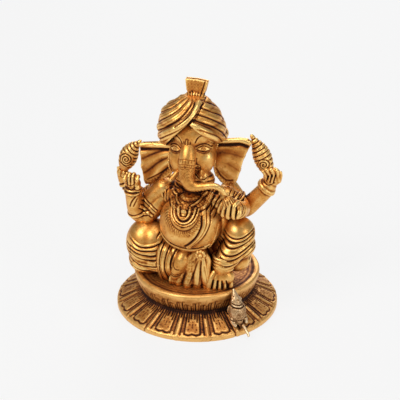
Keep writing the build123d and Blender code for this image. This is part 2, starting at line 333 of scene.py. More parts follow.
def paint_occlusion_shade():
    """Paints shade into the colour wherever pieces stand close in front of one another, as occlusion would
    darken them, then stores it with the patina on each mesh.
    """
    cell = 2.0
    places = np.vstack([skin.points + skin.offset for skin in tooled])
    weights = np.concatenate([np.full(len(skin.points), skin.area() / len(skin.points)) for skin in tooled])
    low = places.min(0) - 24
    shape = tuple(((places.max(0) + 24 - low) / cell).astype(int) + 1)
    where = ((places - low) / cell).astype(int)
    crowd = np.zeros(shape)
    np.add.at(crowd, tuple(where.T), weights)
    for _ in range(6):
        for axis in range(3):
            crowd = 0.5 * crowd + 0.25 * (np.roll(crowd, 1, axis) + np.roll(crowd, -1, axis))
    for skin in tooled:
        shade = np.zeros(len(skin.points))
        for reach in (4.0, 7.0, 11.0):
            look = skin.points + skin.offset + reach * skin.normals
            at_cell = np.clip(((look - low) / cell).astype(int), 0, np.array(shape) - 1)
            shade += crowd[tuple(at_cell.T)]
        for _ in range(4):
            shade = 0.4 * shade + 0.6 * skin.neighbours_mean(shade[:, None])[:, 0]
        # painted shade: the colour is darkened where other pieces crowd close in front of a surface, as
        # occlusion would shade it
        painted_occlusion_shade = np.clip((shade - CROWD_FREE) / CROWD_DEEP, 0, 1)
        # the stored value holds the patina together with this painted shade
        store = skin.object.data.attributes.new("patina_and_painted_shade", "FLOAT", "POINT")
        store.data.foreach_set("value", (skin.patina_and_painted_shade + 0.36 * painted_occlusion_shade * (1 - skin.spared_painted_shade)).astype(np.float32))


tooled = []


def finish_piece(made, material, body, slot, *nodes):
    """Smooth shading, material, body and the CAD nodes that the piece stands for; the slot argument is not
    used.
    """
    made.data.materials.clear()
    made.data.materials.append(material)
    made.data.polygons.foreach_set("use_smooth", [True] * len(made.data.polygons))
    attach(made, body)
    if nodes:
        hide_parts(*nodes)
    return made


# ------------------------------------------------------------------ metals
def metal(name, stops, roughness, grain=420.0, bump=0.12, pits=0.5, bare=1.0):
    """A cast metal whose colour follows the patina and painted shade from rubbed highlights to dark recesses.
    """
    material = bpy.data.materials.new(name)
    material.use_nodes = True
    nodes, links = material.node_tree.nodes, material.node_tree.links
    nodes.clear()

    def node(kind, **values):
        made = nodes.new(kind)
        for key, value in values.items():
            setattr(made, key, value)
        return made

    out = node("ShaderNodeOutputMaterial")
    shader = node("ShaderNodeBsdfPrincipled")
    links.new(shader.outputs["BSDF"], out.inputs["Surface"])
    shader.inputs["Metallic"].default_value = bare
    place = node("ShaderNodeTexCoord")
    patina_and_painted_shade = node("ShaderNodeAttribute", attribute_name="patina_and_painted_shade")
    cloud = node("ShaderNodeTexNoise")
    cloud.inputs["Scale"].default_value = 95.0
    cloud.inputs["Detail"].default_value = 6.0
    cloud.inputs["Roughness"].default_value = 0.65
    links.new(place.outputs["Object"], cloud.inputs["Vector"])
    speck = node("ShaderNodeTexNoise")
    speck.inputs["Scale"].default_value = grain
    speck.inputs["Detail"].default_value = 3.0
    links.new(place.outputs["Object"], speck.inputs["Vector"])
    spread = node("ShaderNodeMapRange")
    spread.inputs["From Min"].default_value = 0.3
    spread.inputs["From Max"].default_value = 0.7
    spread.inputs["To Min"].default_value = -0.16
    spread.inputs["To Max"].default_value = 0.20
    links.new(cloud.outputs["Fac"], spread.inputs["Value"])
    pit = node("ShaderNodeMapRange")
    pit.inputs["From Min"].default_value = 0.58
    pit.inputs["From Max"].default_value = 0.74
    pit.inputs["To Min"].default_value = 0.0
    pit.inputs["To Max"].default_value = pits
    links.new(speck.outputs["Fac"], pit.inputs["Value"])
    both = node("ShaderNodeMath", operation="ADD")
    links.new(patina_and_painted_shade.outputs["Fac"], both.inputs[0])
    links.new(spread.outputs["Result"], both.inputs[1])
    total = node("ShaderNodeMath", operation="ADD")
    links.new(both.outputs[0], total.inputs[0])
    links.new(pit.outputs["Result"], total.inputs[1])
    ramp = node("ShaderNodeValToRGB")
    while len(ramp.color_ramp.elements) < len(stops):
        ramp.color_ramp.elements.new(0.5)
    for element, (position, colour) in zip(ramp.color_ramp.elements, stops):
        element.position = position
        element.color = (*colour, 1)
    links.new(total.outputs[0], ramp.inputs["Fac"])
    links.new(ramp.outputs["Color"], shader.inputs["Base Color"])
    dull = node("ShaderNodeMapRange")
    dull.inputs["From Min"].default_value = 0.1
    dull.inputs["From Max"].default_value = 1.0
    dull.inputs["To Min"].default_value = roughness[0]
    dull.inputs["To Max"].default_value = roughness[1]
    links.new(total.outputs[0], dull.inputs["Value"])
    links.new(dull.outputs["Result"], shader.inputs["Roughness"])
    relief = node("ShaderNodeBump")
    relief.inputs["Strength"].default_value = bump
    relief.inputs["Distance"].default_value = 0.0004
    links.new(speck.outputs["Fac"], relief.inputs["Height"])
    links.new(relief.outputs["Normal"], shader.inputs["Normal"])
    return material


FIGURE_STOPS = [
    (0.04, (0.95, 0.60, 0.20)), (0.32, (0.70, 0.325, 0.070)), (0.56, (0.42, 0.138, 0.024)),
    (0.80, (0.155, 0.040, 0.010)), (1.0, (0.036, 0.011, 0.005)),
]
BASE_STOPS = [
    (0.04, (0.84, 0.47, 0.145)), (0.32, (0.52, 0.215, 0.042)), (0.56, (0.29, 0.088, 0.015)),
    (0.80, (0.115, 0.029, 0.007)), (1.0, (0.034, 0.010, 0.004)),
]
MOUSE_STOPS = [
    (0.06, (0.88, 0.66, 0.40)), (0.34, (0.58, 0.35, 0.165)), (0.58, (0.32, 0.155, 0.062)),
    (0.82, (0.12, 0.05, 0.02)), (1.0, (0.035, 0.016, 0.008)),
]
figure_brass = metal("antiqued_brass", FIGURE_STOPS, (0.38, 0.62), pits=0.22, bare=0.9)
base_brass = metal("base_brass", BASE_STOPS, (0.42, 0.66), bump=0.2, pits=0.3, bare=0.72)
mouse_brass = metal("raw_pale_brass", MOUSE_STOPS, (0.42, 0.65), bump=0.3)

# ------------------------------------------------------------------ the base
def base_plinth():
    """A flange of sixteen engraved petals, a cove and a drum: one profile spun round, then tooled."""
    at = drawn_round("base_plinth", 0, 0, 16.5)
    corners = [
        (0, 32.2, 3), (28, 32.2, 0.9), (45.6, 32.2, 1.1), (46.6, 32.6, 0.5), (47.4, 32.9, 0.6),
        (49.3, 33.0, 0.7),
        (50.5, 32.5, 0.6), (51.2, 31.4, 0.6), (51.3, 30.3, 0.7), (51.0, 28.4, 0.8), (50.1, 25.2, 0.8),
        (48.7, 21.6, 0.8), (47.0, 18.6, 0.7), (45.7, 16.5, 0.6), (45.8, 14.6, 0.6), (47.2, 13.4, 0.55),
        (64.4, 4.9, 0.6), (65.7, 4.2, 0.6), (66.2, 3.2, 0.8), (66.2, 0.5, 0.6), (65.8, 0, 1), (63.2, 0, 4),
        (62.8, 2.0, 6), (46.0, 10.6, 4), (42.4, 13.4, 3), (42.4, 17.5, 5), (47.4, 28.0, 4), (45.0, 29.0, 9),
        (0, 29.0, 1),
    ]
    mesh = bmesh.new()
    rows = []
    for (r, z, step), (r_next, z_next, _) in zip(corners, corners[1:]):
        count = max(1, round(sqrt((r_next - r) ** 2 + (z_next - z) ** 2) / step))
        rows += [(r + (r_next - r) * i / count, z + (z_next - z) * i / count) for i in range(count)]
    rows.append(corners[-1][:2])
    bmesh.ops.create_grid(mesh, x_segments=740, y_segments=len(rows) - 1, size=0.5)
    for vert in mesh.verts:
        r, z = rows[round((vert.co.y + 0.5) * (len(rows) - 1))]
        turn = 2 * pi * (vert.co.x + 0.5)
        vert.co = at(r * cos(turn), r * sin(turn), z)
    bmesh.ops.remove_doubles(mesh, verts=mesh.verts, dist=0.00001)
    bmesh.ops.recalc_face_normals(mesh, faces=mesh.faces)
    skin = Skin(object_from(mesh, "petalled_base"), at)
    x, y, z = skin.points.T
    r = np.hypot(x, y)
    angle = np.degrees(np.arctan2(y, x))
    outer = (skin.normals[:, 2] > 0.05) | (r > 65)
    petal = (angle / 22.5) % 1 * 22.5 - 11.25
    number = np.floor(angle / 22.5)
    slope = outer & (z < 15.2) & (r > 45.2)
    along = (r - 47.0) / 17.4

    def radial(at_angle, start, end, width, depth, dark=1.0):
        """A straight groove across the slope, mirrored about the petal's middle."""
        off = r * np.radians(np.abs(np.abs(petal) - at_angle))
        run = ease(along, start - 0.02, start + 0.02) * (1 - ease(along, end - 0.02, end + 0.02))
        skin.cut(slope * run * np.exp(-((off / width) ** 2)), depth, dark)

    lobe = 0.93 + 0.055 * np.abs(np.sin(np.radians(petal / 5.8 * 180)))
    inside = np.abs(petal) < 5.9
    off = np.abs(along - lobe) * 17.4
    skin.cut(slope * inside * np.exp(-((off / 0.5) ** 2)), 0.75)
    skin.add(slope * inside * (along < lobe - 0.04) * ease(along, 0.08, 0.3) * 0.35)
    radial(5.9, -0.06, 0.96, 0.50, 0.85)
    radial(8.9, -0.10, 1.0, 0.42, 0.65)
    seam = slope * (np.abs(np.abs(petal) - 10.0) < 1.3) * (along > 0.93)
    skin.cut(seam * valleys(petal, 1.25, 0.3), 0.2, 0.5)
    odd = (number % 3 == 0) & (petal > 0)
    edge_run = odd * slope * (along > 0.85) * np.exp(-((r * np.radians(np.abs(petal - 8.9)) / 0.45) ** 2))
    skin.cut(edge_run, 0.6)
    strip = (np.abs(petal) > 6.5) & (np.abs(petal) < 8.4) & (along > 0.05) & (along < 0.88)
    skin.cut(slope * strip * valleys(r + 0.25 * petal, 1.35, 0.34), 0.5, 0.8)
    radial(1.7, -0.08, 0.20, 0.5, 0.7)
    radial(3.8, -0.08, 0.36, 0.42, 0.7)
    radial(11.0, -0.08, 0.16, 0.45, 0.6)
    radial(0.0, 0.42, 0.56, 0.30, 0.35, 0.6)
    for place, side in ((0.34, 0), (0.48, 2.4), (0.62, 0), (0.72, 3.2)):
        gap = np.hypot((along - place) * 17.4, r * np.radians(np.abs(petal) - side))
        skin.cut(slope * np.exp(-((gap / 0.42) ** 2)), 0.4, 0.8)
    rib = slope * np.exp(-((r * np.radians(11.25 - np.abs(petal)) / 1.1) ** 2)) * (along > 0)
    skin.add(rib * 0.5)
    outwards = skin.normals[:, 0] * x + skin.normals[:, 1] * y > 0
    wall = (r > 45.0) & (z > 13.6) & (z < 31) & (skin.normals[:, 2] < 0.3) & outwards
    drum = (r > 44) & (z > 14.5) & (z < 28.5) & outer | wall
    slit = (angle / 7.5) % 1 * 7.5 - 3.75
    slit_number = np.floor(angle / 7.5)
    for place, share in ((-2.2, 1.0), (-0.2, 0.75), (1.9, 0.9)):
        top = 24.5 + 2.2 * np.sin(3.1 * slit_number + 5 * place) * share
        bottom = 15.8 + 0.8 * np.sin(1.7 * slit_number + place)
        off = r * np.radians(np.abs(slit - place - 0.25 * np.sin(2.2 * slit_number)))
        run = ease(z, bottom - 0.4, bottom + 0.4) * (1 - ease(z, top - 0.5, top + 0.5))
        strong = 0.45 + 0.55 * (np.sin(5.3 * slit_number + 2 * place) > -0.5)
        skin.cut(drum * run * np.exp(-((off / 0.38) ** 2)) * strong, 0.7)
        hook = np.hypot(z - top, r * np.radians(slit - place - 0.9))
        skin.cut(drum * np.exp(-(((hook - 0.8) / 0.3) ** 2)) * (z > top - 0.2), 0.3, 0.7)
    # painted shade: the drum is darkened, without a cut, along the cove under its bulging wall
    skin.cut(drum * np.exp(-(((z - 16.2) / 1.2) ** 2)), 0.0, 0.45)
    deck = (z > 31.9) & (r < 46.3) & outer
    skin.cut(deck * np.exp(-(((r - 45.0) / 0.5) ** 2)), 0.15, 0.3)
    skin.cut(deck * np.exp(-(((r - 42.0) / 0.45) ** 2)), 0.3, 0.6)
    wave = np.sin(np.radians(angle) * 22) * 1.6 + r
    skin.cut(deck * (r > 29) * (r < 41.5) * valleys(wave + 0.6 * np.sin(angle * 0.7), 2.9, 0.42), 0.25,
        0.35)
    # painted light: the deck's colour is made lighter, standing in for the light and reflections it lacks,
    # and it is spared most of the painted occlusion shade
    skin.dark -= 0.60 * deck
    skin.spared_painted_shade = 0.9 * deck
    rim = (r > 46.4) & (z > 25)
    skin.dark += rim * outer * (0.16 + 0.14 * ripple(skin.points, 6.0, 4.0))
    skin.cut(rim * np.exp(-(((z - 30.0) / 0.35) ** 2)) * outer, 0.12, 0.2)
    skin.dimple((-13.6, -51.2, 31), 0.9, 0.9, 1.0)
    worn = 0.06 * ripple(skin.points, 9.0, 2.0) + 0.05 * ripple(skin.points, 2.7)
    skin.add(worn * 1.4)
    band = (r > 65) & (z < 4.4)
    skin.cut(band * np.exp(-(((z - 4.3) / 0.4) ** 2)), 0.15, 0.4)
    skin.press()
    reach = np.hypot(skin.points[:, 0], skin.points[:, 1])
    skin.points[:, :2] *= np.minimum(1, 66.2 / np.maximum(reach, 1))[:, None]
    clamp_floor(skin, 0.0)
    skin.antique(0.9)
    return finish_piece(skin.object, base_brass, "statue", "base_brass", "base_plinth")


# ------------------------------------------------------------------ small shared ornaments
def beads(name, at, line, radius, spacing, material, body, slot):
    """A string of round beads along a line of places."""
    mesh = bmesh.new()
    path = smooth_path(line, 0.15)
    gone = np.concatenate([[0], np.cumsum(np.linalg.norm(np.diff(path, axis=0), axis=1))])
    for distance in np.arange(0, gone[-1], spacing):
        place = [np.interp(distance, gone, path[:, i]) for i in range(3)]
        bmesh.ops.create_icosphere(
            mesh, subdivisions=2, radius=radius * MM, matrix=Matrix.Translation(at(*place))
        )
    made = object_from(mesh, name)
    skin = Skin(made, at)
    depth = 0.5 + 0.6 * np.random.default_rng(7).random(len(skin.points))
    skin.object.data.attributes.new("patina_and_painted_shade", "FLOAT", "POINT").data.foreach_set(
        "value", (0.1 + 0.25 * depth * (skin.normals[:, 1] > -0.4)).astype(np.float32)
    )
    return finish_piece(made, material, body, slot)


def clamp_floor(skin, height):
    """Flattens what hangs below a height, where the piece stands on the deck."""
    skin.points[:, 2] = np.maximum(skin.points[:, 2], height)
    skin.write()


# ------------------------------------------------------------------ hips, dhoti pleats and legs
RIGHT_LEG = (-29.19, -17.28, 54.45)
LEFT_LEG = (32.57, -14.25, 60.1)


def hips():
    """The seated cloth: a broad lap and the fan of pleats that falls from its rosette."""
    clay = Clay(drawn_round("hips_casting", 0, -9, 48.2))
    clay.ball((0, -4, 44), (32.5, 22, 14))
    clay.ball((0, -5, 52), (28, 20, 14))
    clay.ball((3, -20, 48), (15, 14, 17))
    clay.ball((5, -22, 36), (16, 13.5, 8))
    for side, foot_x, foot_y, thick in (
        (2.6, -6.6, -33.0, 3.3), (5.6, 1.2, -33.6, 4.0), (9.6, 8.8, -32.6, 4.0), (12.6, 15.6, -30.8, 3.6),
    ):
        clay.tube([
            (side * 0.55 + 5, -29.5, 62, 1.8), (side + (foot_x - side) * 0.3, -30.4, 53, 2.6),
            (side + (foot_x - side) * 0.75, -31.6, 42, thick * 0.88), (foot_x, foot_y, 34.6, thick),
        ])
    skin = clay.skin("dhoti_and_pleats", 0.42)
    x, y, z = skin.points.T
    front = (y < -24) & (skin.normals[:, 1] < 0)
    fan = np.degrees(np.arctan2(x - 8.5, 78 - z))
    skin.scribe(smooth_path([(9.5, 56), (6.4, 46), (3.4, 36)], 1.0), 0.4, 0.3, dark=0.5)
    skin.scribe(smooth_path([(12.2, 56), (11.4, 46), (11.0, 36)], 1.0), 0.4, 0.3, dark=0.5)
    skin.scribe(smooth_path([(14.6, 52), (16.4, 44), (17.8, 36)], 1.0), 0.4, 0.3, dark=0.5)
    skin.stipple(front * (fan > -30) * (fan < -6) * ease(z, 33, 37), 1.5, 0.28)
    skin.cut(front * np.exp(-(((z - 35.2 - 0.4 * np.sin(x)) / 0.35) ** 2)), 0.2, 0.7)
    back = (y > -10) & (skin.normals[:, 1] > -0.3)
    sweep = z + 0.012 * x**2 + 1.2 * np.sin(x / 7)
    folds = valleys(sweep + 1.2 * ripple(skin.points, 11.0), 4.6, 0.7)
    skin.cut(back * (z > 35) * (z < 62) * folds, 0.9, 0.7)
    skin.press()
    clamp_floor(skin, 31.95)
    skin.antique()
    return finish_piece(skin.object, figure_brass, "statue", "antique_brass", "hips_casting")


def knee_arcs(skin, x_mid, highest, sag, width, drops, reach, depth, facing):
    """Sagging folds: arcs that hang below one another across a rounded knee."""
    x, _, z = skin.points.T
    look = skin.normals @ np.array(facing, float)
    for i, drop in enumerate(drops):
        line = highest - drop + sag * ((x - x_mid) / reach) ** 2 + 0.5 * np.sin(x / 5.0 + 1.7 * i)
        run = ease(look, -0.1, 0.3) * ease(reach * 1.05 - np.abs(x - x_mid - 1.5 * np.sin(2.1 * i)), 0, 5)
        off = (z - line) / width
        skin.cut(run * np.exp(-(off**2)), depth * (0.8 + 0.3 * np.sin(2.3 * i)), 0.42)
        skin.add(run * 0.5 * depth * np.exp(-((off - 1.9) ** 2)))


def right_leg():
    """Its folded leg: a great polished knee, sagging folds, a turned-in calf and a foot in front."""
    clay = Clay(drawn_round("right_leg", *RIGHT_LEG))
    clay.ball((-39.3, -14.5, 57.4), (16.2, 16.6, 20.0))
    clay.ball((-31.5, -15.0, 58.5), (15.5, 15.6, 18.6))
    clay.ball((-38.5, -13, 42), (15.6, 15.4, 13))
    clay.tube([(-36, -15, 45, 12), (-26, -20, 46, 11.4), (-20, -23, 47, 10.8)])
    clay.ball((-30, -11, 62), (15.5, 14.5, 14.5))
    clay.ball((-24, -10, 66), (11, 12, 11))
    skin = clay.skin("right_knee_and_calf", 0.42, 18)
    x, y, z = skin.points.T
    knee_arcs(skin, -35, 60.8, 5.2, 0.85, (0, 4.2, 8.0, 12.0, 18.6, 24.0), 15, 1.15, (0.1, -0.95, 0.1))
    skin.stipple((np.abs(z - 43.5 - 0.02 * (x + 36) ** 2) < 1.6) * (x < -24) * (y < -15), 1.2, 0.2)
    cuff = np.hypot(x + 6, (z - 52) * 0.8)
    on_calf = (x > -26.5) & (y < -16)
    skin.cut(on_calf * valleys(cuff - 0.7, 4.8, 0.6), 0.8, 0.9)
    away = (y > -14) & (skin.normals[:, 1] > -0.35) | (x < -48)
    hang = z - 0.30 * (y + 10) + 0.8 * ripple(skin.points, 9.0)
    skin.cut(away * (z < 61) * (z > 35) * valleys(hang, 3.6, 0.6), 0.7, 0.8)
    skin.press()
    clamp_floor(skin, 31.95)
    skin.antique()
    leg = finish_piece(skin.object, figure_brass, "statue", "antique_brass", "right_leg")
    clay = Clay(drawn_round("right_leg", *RIGHT_LEG))
    clay.tube([(-19, -25, 57, 8.5), (-17.5, -26.5, 48, 9.6), (-18.5, -25, 39, 8.0)])
    clay.tube([(-11, -25, 57, 6.5), (-9, -27, 52, 7.2), (-9.5, -28, 46, 6.6)])
    skin = clay.skin("right_dhoti_cuff", 0.36)
    x, y, z = skin.points.T
    cuff = np.hypot(x + 3, (z - 50) * 0.62)
    skin.cut((y < -20) * valleys(cuff, 4.9, 0.6), 1.0, 1.0)
    skin.cut((y < -20) * valleys(cuff + 1.6, 4.9, 0.35), 0.3, 0.5)
    skin.press()
    clamp_floor(skin, 31.95)
    skin.antique()
    finish_piece(skin.object, figure_brass, "statue", "antique_brass")
    clay = Clay(drawn_round("right_leg", *RIGHT_LEG))
    clay.tube([(-3.0, -27.5, 59.0, 4.6), (-4.6, -30.0, 54, 6.4), (-6.8, -30.8, 47.5, 6.2),
        (-9.0, -31.0, 41, 5.2), (-10.0, -30.6, 36.6, 4.4)])
    for toe, size in ((-13.0, 1.5), (-10.8, 1.5), (-8.6, 1.6), (-6.2, 1.9)):
        clay.tube([(toe, -33.4, 38.5, size), (toe - 0.2, -34.2, 35.6, size),
            (toe, -34.0, 34.0, size * 0.9)])
    skin = clay.skin("right_foot", 0.3)
    skin.scribe([(-14, 41.8), (-9, 40.6), (-4, 42.4)], 0.5, 0.4)
    skin.scribe([(-14, 43.6), (-9, 42.3), (-3.6, 44.2)], 0.4, 0.3)
    skin.scribe(arc(-6.5, 52, 4.2, 150, 285), 0.45, 0.3)
    clamp_floor(skin, 31.95)
    skin.antique(0.8)
    finish_piece(skin.object, figure_brass, "statue", "antique_brass")
    return leg


def left_leg():
    """Its raised leg: a knee with sagging folds, a banded shin, anklets and a bare foot of five toes."""
    clay = Clay(drawn_round("left_leg", *LEFT_LEG))
    clay.ball((38.5, -12.5, 75.5), (12.6, 13.0, 13.4))
    clay.ball((37.5, -11.0, 64), (13.8, 13.6, 12))
    clay.ball((26, -6, 58), (15, 14, 15))
    clay.ball((30, -8, 73), (13, 11.5, 12))
    clay.ball((36, -8, 50), (11, 13, 11))
    clay.tube([(36.5, -16, 66, 11), (32.5, -21.5, 59, 9.8), (28.5, -24.5, 52, 8.3), (27.2, -24.6, 46, 7.2)])
    skin = clay.skin("left_knee_and_shin", 0.4, 14)
    x, y, z = skin.points.T
    for i, drop in enumerate((0, 3.4, 7.2, 12.8, 16.6, 21.6)):
        depth = 1.0 - 0.05 * i
        fall = 76.0 - drop
        line = fall + 3.6 * ((x - 41.0 + 0.9 * i) / 10.5) ** 2 + 0.22 * (x - 40)
        run = ease(-skin.normals[:, 1], -0.2, 0.3) * (z > 50 - 0.2 * x) * (x > 22)
        off = (z - line) / 0.8
        skin.cut(run * np.exp(-(off**2)), 1.2 * depth, 0.48)
        skin.add(run * 0.4 * np.exp(-((off - 2.1) ** 2)))
    skin.stipple((np.abs(z + 0.52 * x - 77) < 2.2) * (y < -18) * (x < 38), 1.3, 0.25)
    away = (y > -12) & (skin.normals[:, 1] > -0.4)
    hang = z - 0.35 * (y + 10) + 0.8 * ripple(skin.points, 9.0)
    skin.cut(away * (z < 84) * valleys(hang, 4.0, 0.6), 0.75, 0.8)
    skin.press()
    clamp_floor(skin, 31.95)
    skin.antique()
    leg = finish_piece(skin.object, figure_brass, "statue", "antique_brass", "left_leg")
    clay = Clay(drawn_round("left_leg", *LEFT_LEG))
    clay.tube([(28.0, -23.5, 56, 6.9), (27.2, -24.2, 50, 6.4), (26.8, -23.6, 44, 6.6),
        (27.0, -22.0, 38, 7.2)])
    clay.ball((27.0, -25.2, 40.8), (10.6, 7.0, 8.6))
    for toe, front, size in ((18.6, -32.0, 2.8), (23.2, -32.0, 2.4), (27.4, -31.0, 2.3),
        (31.4, -29.4, 2.2), (35.2, -27.0, 2.1)):
        inwards = 27.2 - toe
        clay.tube([
            (toe + inwards * 0.4, front + 3.6, 45.0, size + 0.2),
            (toe + inwards * 0.15, front + 1.2, 40.6, size),
            (toe, front, 35.2, size), (toe - 0.1, front - 0.6, 33.4, size * 0.92),
        ])
    for turn, (level, thick) in enumerate(((58.0, 1.25), (55.2, 1.2), (52.4, 1.45), (49.6, 1.5))):
        across = 7.4 + 0.1 * turn
        ring = [(27.7 + across * cos(a), -23.9 + 7.2 * sin(a), level - 1.2 * cos(a - 0.4), thick)
                for a in np.linspace(0, 2 * pi, 26)]
        clay.tube(ring)
    skin = clay.skin("left_foot_and_anklets", 0.3, 2)
    x, y, z = skin.points.T
    around = np.degrees(np.arctan2(y + 23.9, x - 27.7))
    skin.cut((np.abs(z - 52.2) < 1.4) * valleys(around, 11.0, 1.9), 0.3, 0.6)
    for toe in (21.1, 25.3, 29.4, 33.4):
        inwards = 27.2 - toe
        skin.scribe([(toe, 33), (toe + inwards * 0.08, 36.5), (toe + inwards * 0.16, 40.0)], 0.55, 0.9)
    clamp_floor(skin, 31.95)
    skin.antique(0.9)
    finish_piece(skin.object, figure_brass, "statue", "antique_brass")
    return leg


# ------------------------------------------------------------------ torso, jewellery and sash
def torso():
    """A round belly under a collar, a three-row pendant, a garland and a sash."""
    at = drawn_round("torso", 0, -15.5, 90.55)
    clay = Clay(at)
    clay.ball((0, -20, 83.7), (25.2, 21.8, 24.8), detail=5)
    clay.ball((0, -4, 99.5), (28.2, 13.6, 14.0))
    clay.ball((0, -5, 79.7), (22.5, 16, 24))
    clay.tube([(0, -5, 103, 11.5), (0, -8, 112, 10.2), (0, -9.5, 123, 8.8)])
    clay.ball((0, -7, 116.5), (16.5, 10.5, 10.5))
    clay.ball((-13, -14, 101), (11, 8, 8))
    clay.ball((13, -14, 101), (11, 8, 8))
    for side in (-1, 1):
        clay.ball((side * 24, -5, 102), (8, 10, 10))
        clay.ball((side * 22, -3, 88), (8.5, 11, 16))
    clay.ball((22.5, -12, 82), (7, 9, 12))
    skin = clay.skin("torso", 0.42, 5)
    x, _, z = skin.points.T
    front = ease(-skin.normals[:, 1], -0.15, 0.2)
    collar_low = 100.6 + 0.012 * x**2
    across = 1 - ease(np.abs(x), 15.5, 18)
    above = front * across * (z > collar_low) * (z < collar_low + 7.0)
    skin.add(above * 0.8)
    skin.stipple(above, 1.5, 0.4, dark=0.6)
    skin.stipple(above, 2.6, 0.3, seed=1.0, dark=0.45)
    for rise in (0.0, 7.0):
        off = z - collar_low - rise
        skin.add(front * across * 0.6 * np.exp(-((off / 0.8) ** 2)))
        skin.cut(front * across * np.exp(-(((off + 1.5) / 0.5) ** 2)), 0.4, 0.7)
    # the pendant: nested hoops with a drop at the middle
    middle_x, middle_z = -1.2, 101.5
    for radius, squash, start, end, width, height in (
        (4.6, 1.25, 168, 370, 1.2, 1.3), (8.4, 1.08, 172, 368, 0.95, 1.0), (11.0, 1.0, 176, 364, 0.8, 0.8),
    ):
        skin.cord(arc(middle_x, middle_z, radius, start, end, squash), width, height, edge=0.75)
    drop = np.hypot(x - middle_x, (z - 99.4) / 1.25)
    skin.add(front * 1.3 * np.sqrt(np.clip(1 - (drop / 2.4) ** 2, 0, 1)))
    skin.cut(front * np.exp(-(((drop - 2.9) / 0.5) ** 2)) * (z < 102), 0.5, 0.9)
    skin.cord([(-14.5, 108.0), (-9.0, 105.4), (-4.0, 103.4)], 0.8, 1.0, edge=0.6)
    skin.cord([(12.5, 108.8), (7.6, 105.8), (2.4, 103.4)], 0.8, 1.0, edge=0.6)
    # the garland hanging below it: short petals in a crescent
    out = np.hypot(x - middle_x, (z - 100.0) * 0.93)
    bearing = np.degrees(np.arctan2(z - 100.0, x - middle_x))
    tips = 16.2 + 0.8 * np.sin(np.radians(bearing * 9))
    crescent = front * (z < 99) * ease(out, 12.3, 13.2) * (1 - ease(out, tips, 17.6))
    skin.add(crescent * 0.35)
    skin.cut(crescent * valleys(bearing + 3 * np.sin(out), 6.6, 1.1), 0.35, 0.6)
    skin.stipple(crescent, 1.3, 0.25)
    skin.cut(front * (z < 99) * np.exp(-(((out - 12.6) / 0.45) ** 2)), 0.3, 0.6)
    # the sash from the left shoulder across to the lap
    sash = [(16.5, 112), (14.6, 104), (15.8, 97.5), (16.4, 90.5), (13.6, 83.0), (8.6, 76.5), (3.2, 71.5)]
    skin.cord([(px, 0, pz) for px, pz in smooth_path(sash, 1.0)], 2.6, 1.05)
    left_edge = [(px - 2.9, pz - 0.2) for px, pz in sash[2:]]
    right_edge = [(px + 2.6, pz + 0.3) for px, pz in sash]
    skin.scribe(smooth_path(left_edge, 1.0), 0.75, 1.1)
    skin.scribe(smooth_path(right_edge, 1.0), 0.5, 0.55, dark=0.7)
    skin.scribe(smooth_path(sash, 1.0), 0.4, 0.35, dark=0.5)
    # the belt of the dhoti under the belly
    belt = smooth_path([(-26, 77.5), (-20, 72.6), (-13.5, 69.6), (-3, 67.6), (7.8, 67.2), (15, 68.4)], 1.0)
    skin.cord(belt, 1.5, 1.1, edge=0.6)
    skin.scribe(belt, 0.35, 0.3)
    # strap folds over both shoulders
    for line in ([(-30.5, 108), (-29.6, 101), (-29.0, 94)],
            [(-27.6, 109), (-26.6, 101), (-25.6, 92), (-23.6, 86)],
            [(-24.8, 109), (-23.6, 101), (-22.8, 93)], [(-21.8, 108), (-20.6, 101)],
            [(20.8, 111), (17.8, 106), (15.5, 101)], [(24.0, 110), (21.0, 104), (18.6, 98)],
            [(27.0, 108), (23.8, 102), (21.6, 95)]):
        skin.scribe(smooth_path(line, 1.0), 0.7, 0.8)
    # the back: shawl folds slanting from the left shoulder, and the belt
    back = ease(skin.normals[:, 1], -0.25, 0.2)
    slant = z * 0.86 + x * 0.5
    shawl = back * ease(z, 84, 90) * (1 - ease(z, 108, 112))
    skin.cut(shawl * valleys(slant + 1.1 * ripple(skin.points, 12.0), 4.4, 0.65), 0.85, 0.8)
    skin.cut(back * np.exp(-(((z - 70 - 0.006 * x**2) / 0.7) ** 2)), 0.7, 0.8)
    skin.cut(back * np.exp(-(((z - 65 - 0.006 * x**2) / 0.7) ** 2)), 0.7, 0.8)
    # neck creases
    neck = (z > 109) & (z < 125)
    skin.cut(neck * valleys(z + 0.06 * x, 3.6, 0.5), 0.35, 0.6)
    # painted shade: the front of the chest under the head and trunk is darkened, less on the collar band
    skin.dark += 0.42 * front * (np.abs(x) < 20) * ease(z, 100, 104) * (1 - 0.4 * above)
    skin.antique()
    body = finish_piece(skin.object, figure_brass, "statue", "antique_brass", "torso")
    beads("beaded_scarf", at, belly_line(scarf_line()), 0.85, 1.45, figure_brass, "statue", "antique_brass")
    return body


def belly_line(line):
    """Lifts (x, z) points onto the front of the belly's round."""
    lifted = []
    for px, pz in line:
        left = 1 - (px / 25.2) ** 2 - ((pz - 83.7) / 24.8) ** 2
        lifted.append((px, -20 - 21.8 * sqrt(max(left, 0.0)) - 0.2, pz))
    return lifted


def scarf_line():
    """The beaded edge of the scarf down the belly's left side."""
    return [(24.2, 87.5), (23.4, 81.5), (21.4, 75.0), (18.6, 69.4), (16.4, 66.6)]


def rosette():
    """The knot in front: a ball of small petals."""
    at = drawn_round("hips_casting", 0, -9, 48.2)
    clay = Clay(at)
    clay.ball((12.3, -33.0, 63.6), 4.0)
    for a in np.linspace(0, 2 * pi, 9)[:-1]:
        clay.ball((12.3 + 3.1 * cos(a), -35.4, 63.6 + 3.1 * sin(a)), 1.5, detail=3)
    clay.ball((12.3, -36.9, 63.6), 1.7, detail=3)
    clay.tube([(10.5, -31, 66, 2.0), (13.5, -31.5, 69, 1.6), (17.8, -30, 71.5, 1.4)])
    clay.tube([(15.5, -31, 62, 1.8), (17.6, -30, 56, 2.2), (16.8, -30, 48, 2.4), (16.0, -31, 40, 2.6)])
    skin = clay.skin("rosette", 0.28, 2)
    skin.antique()
    return finish_piece(skin.object, figure_brass, "statue", "antique_brass")


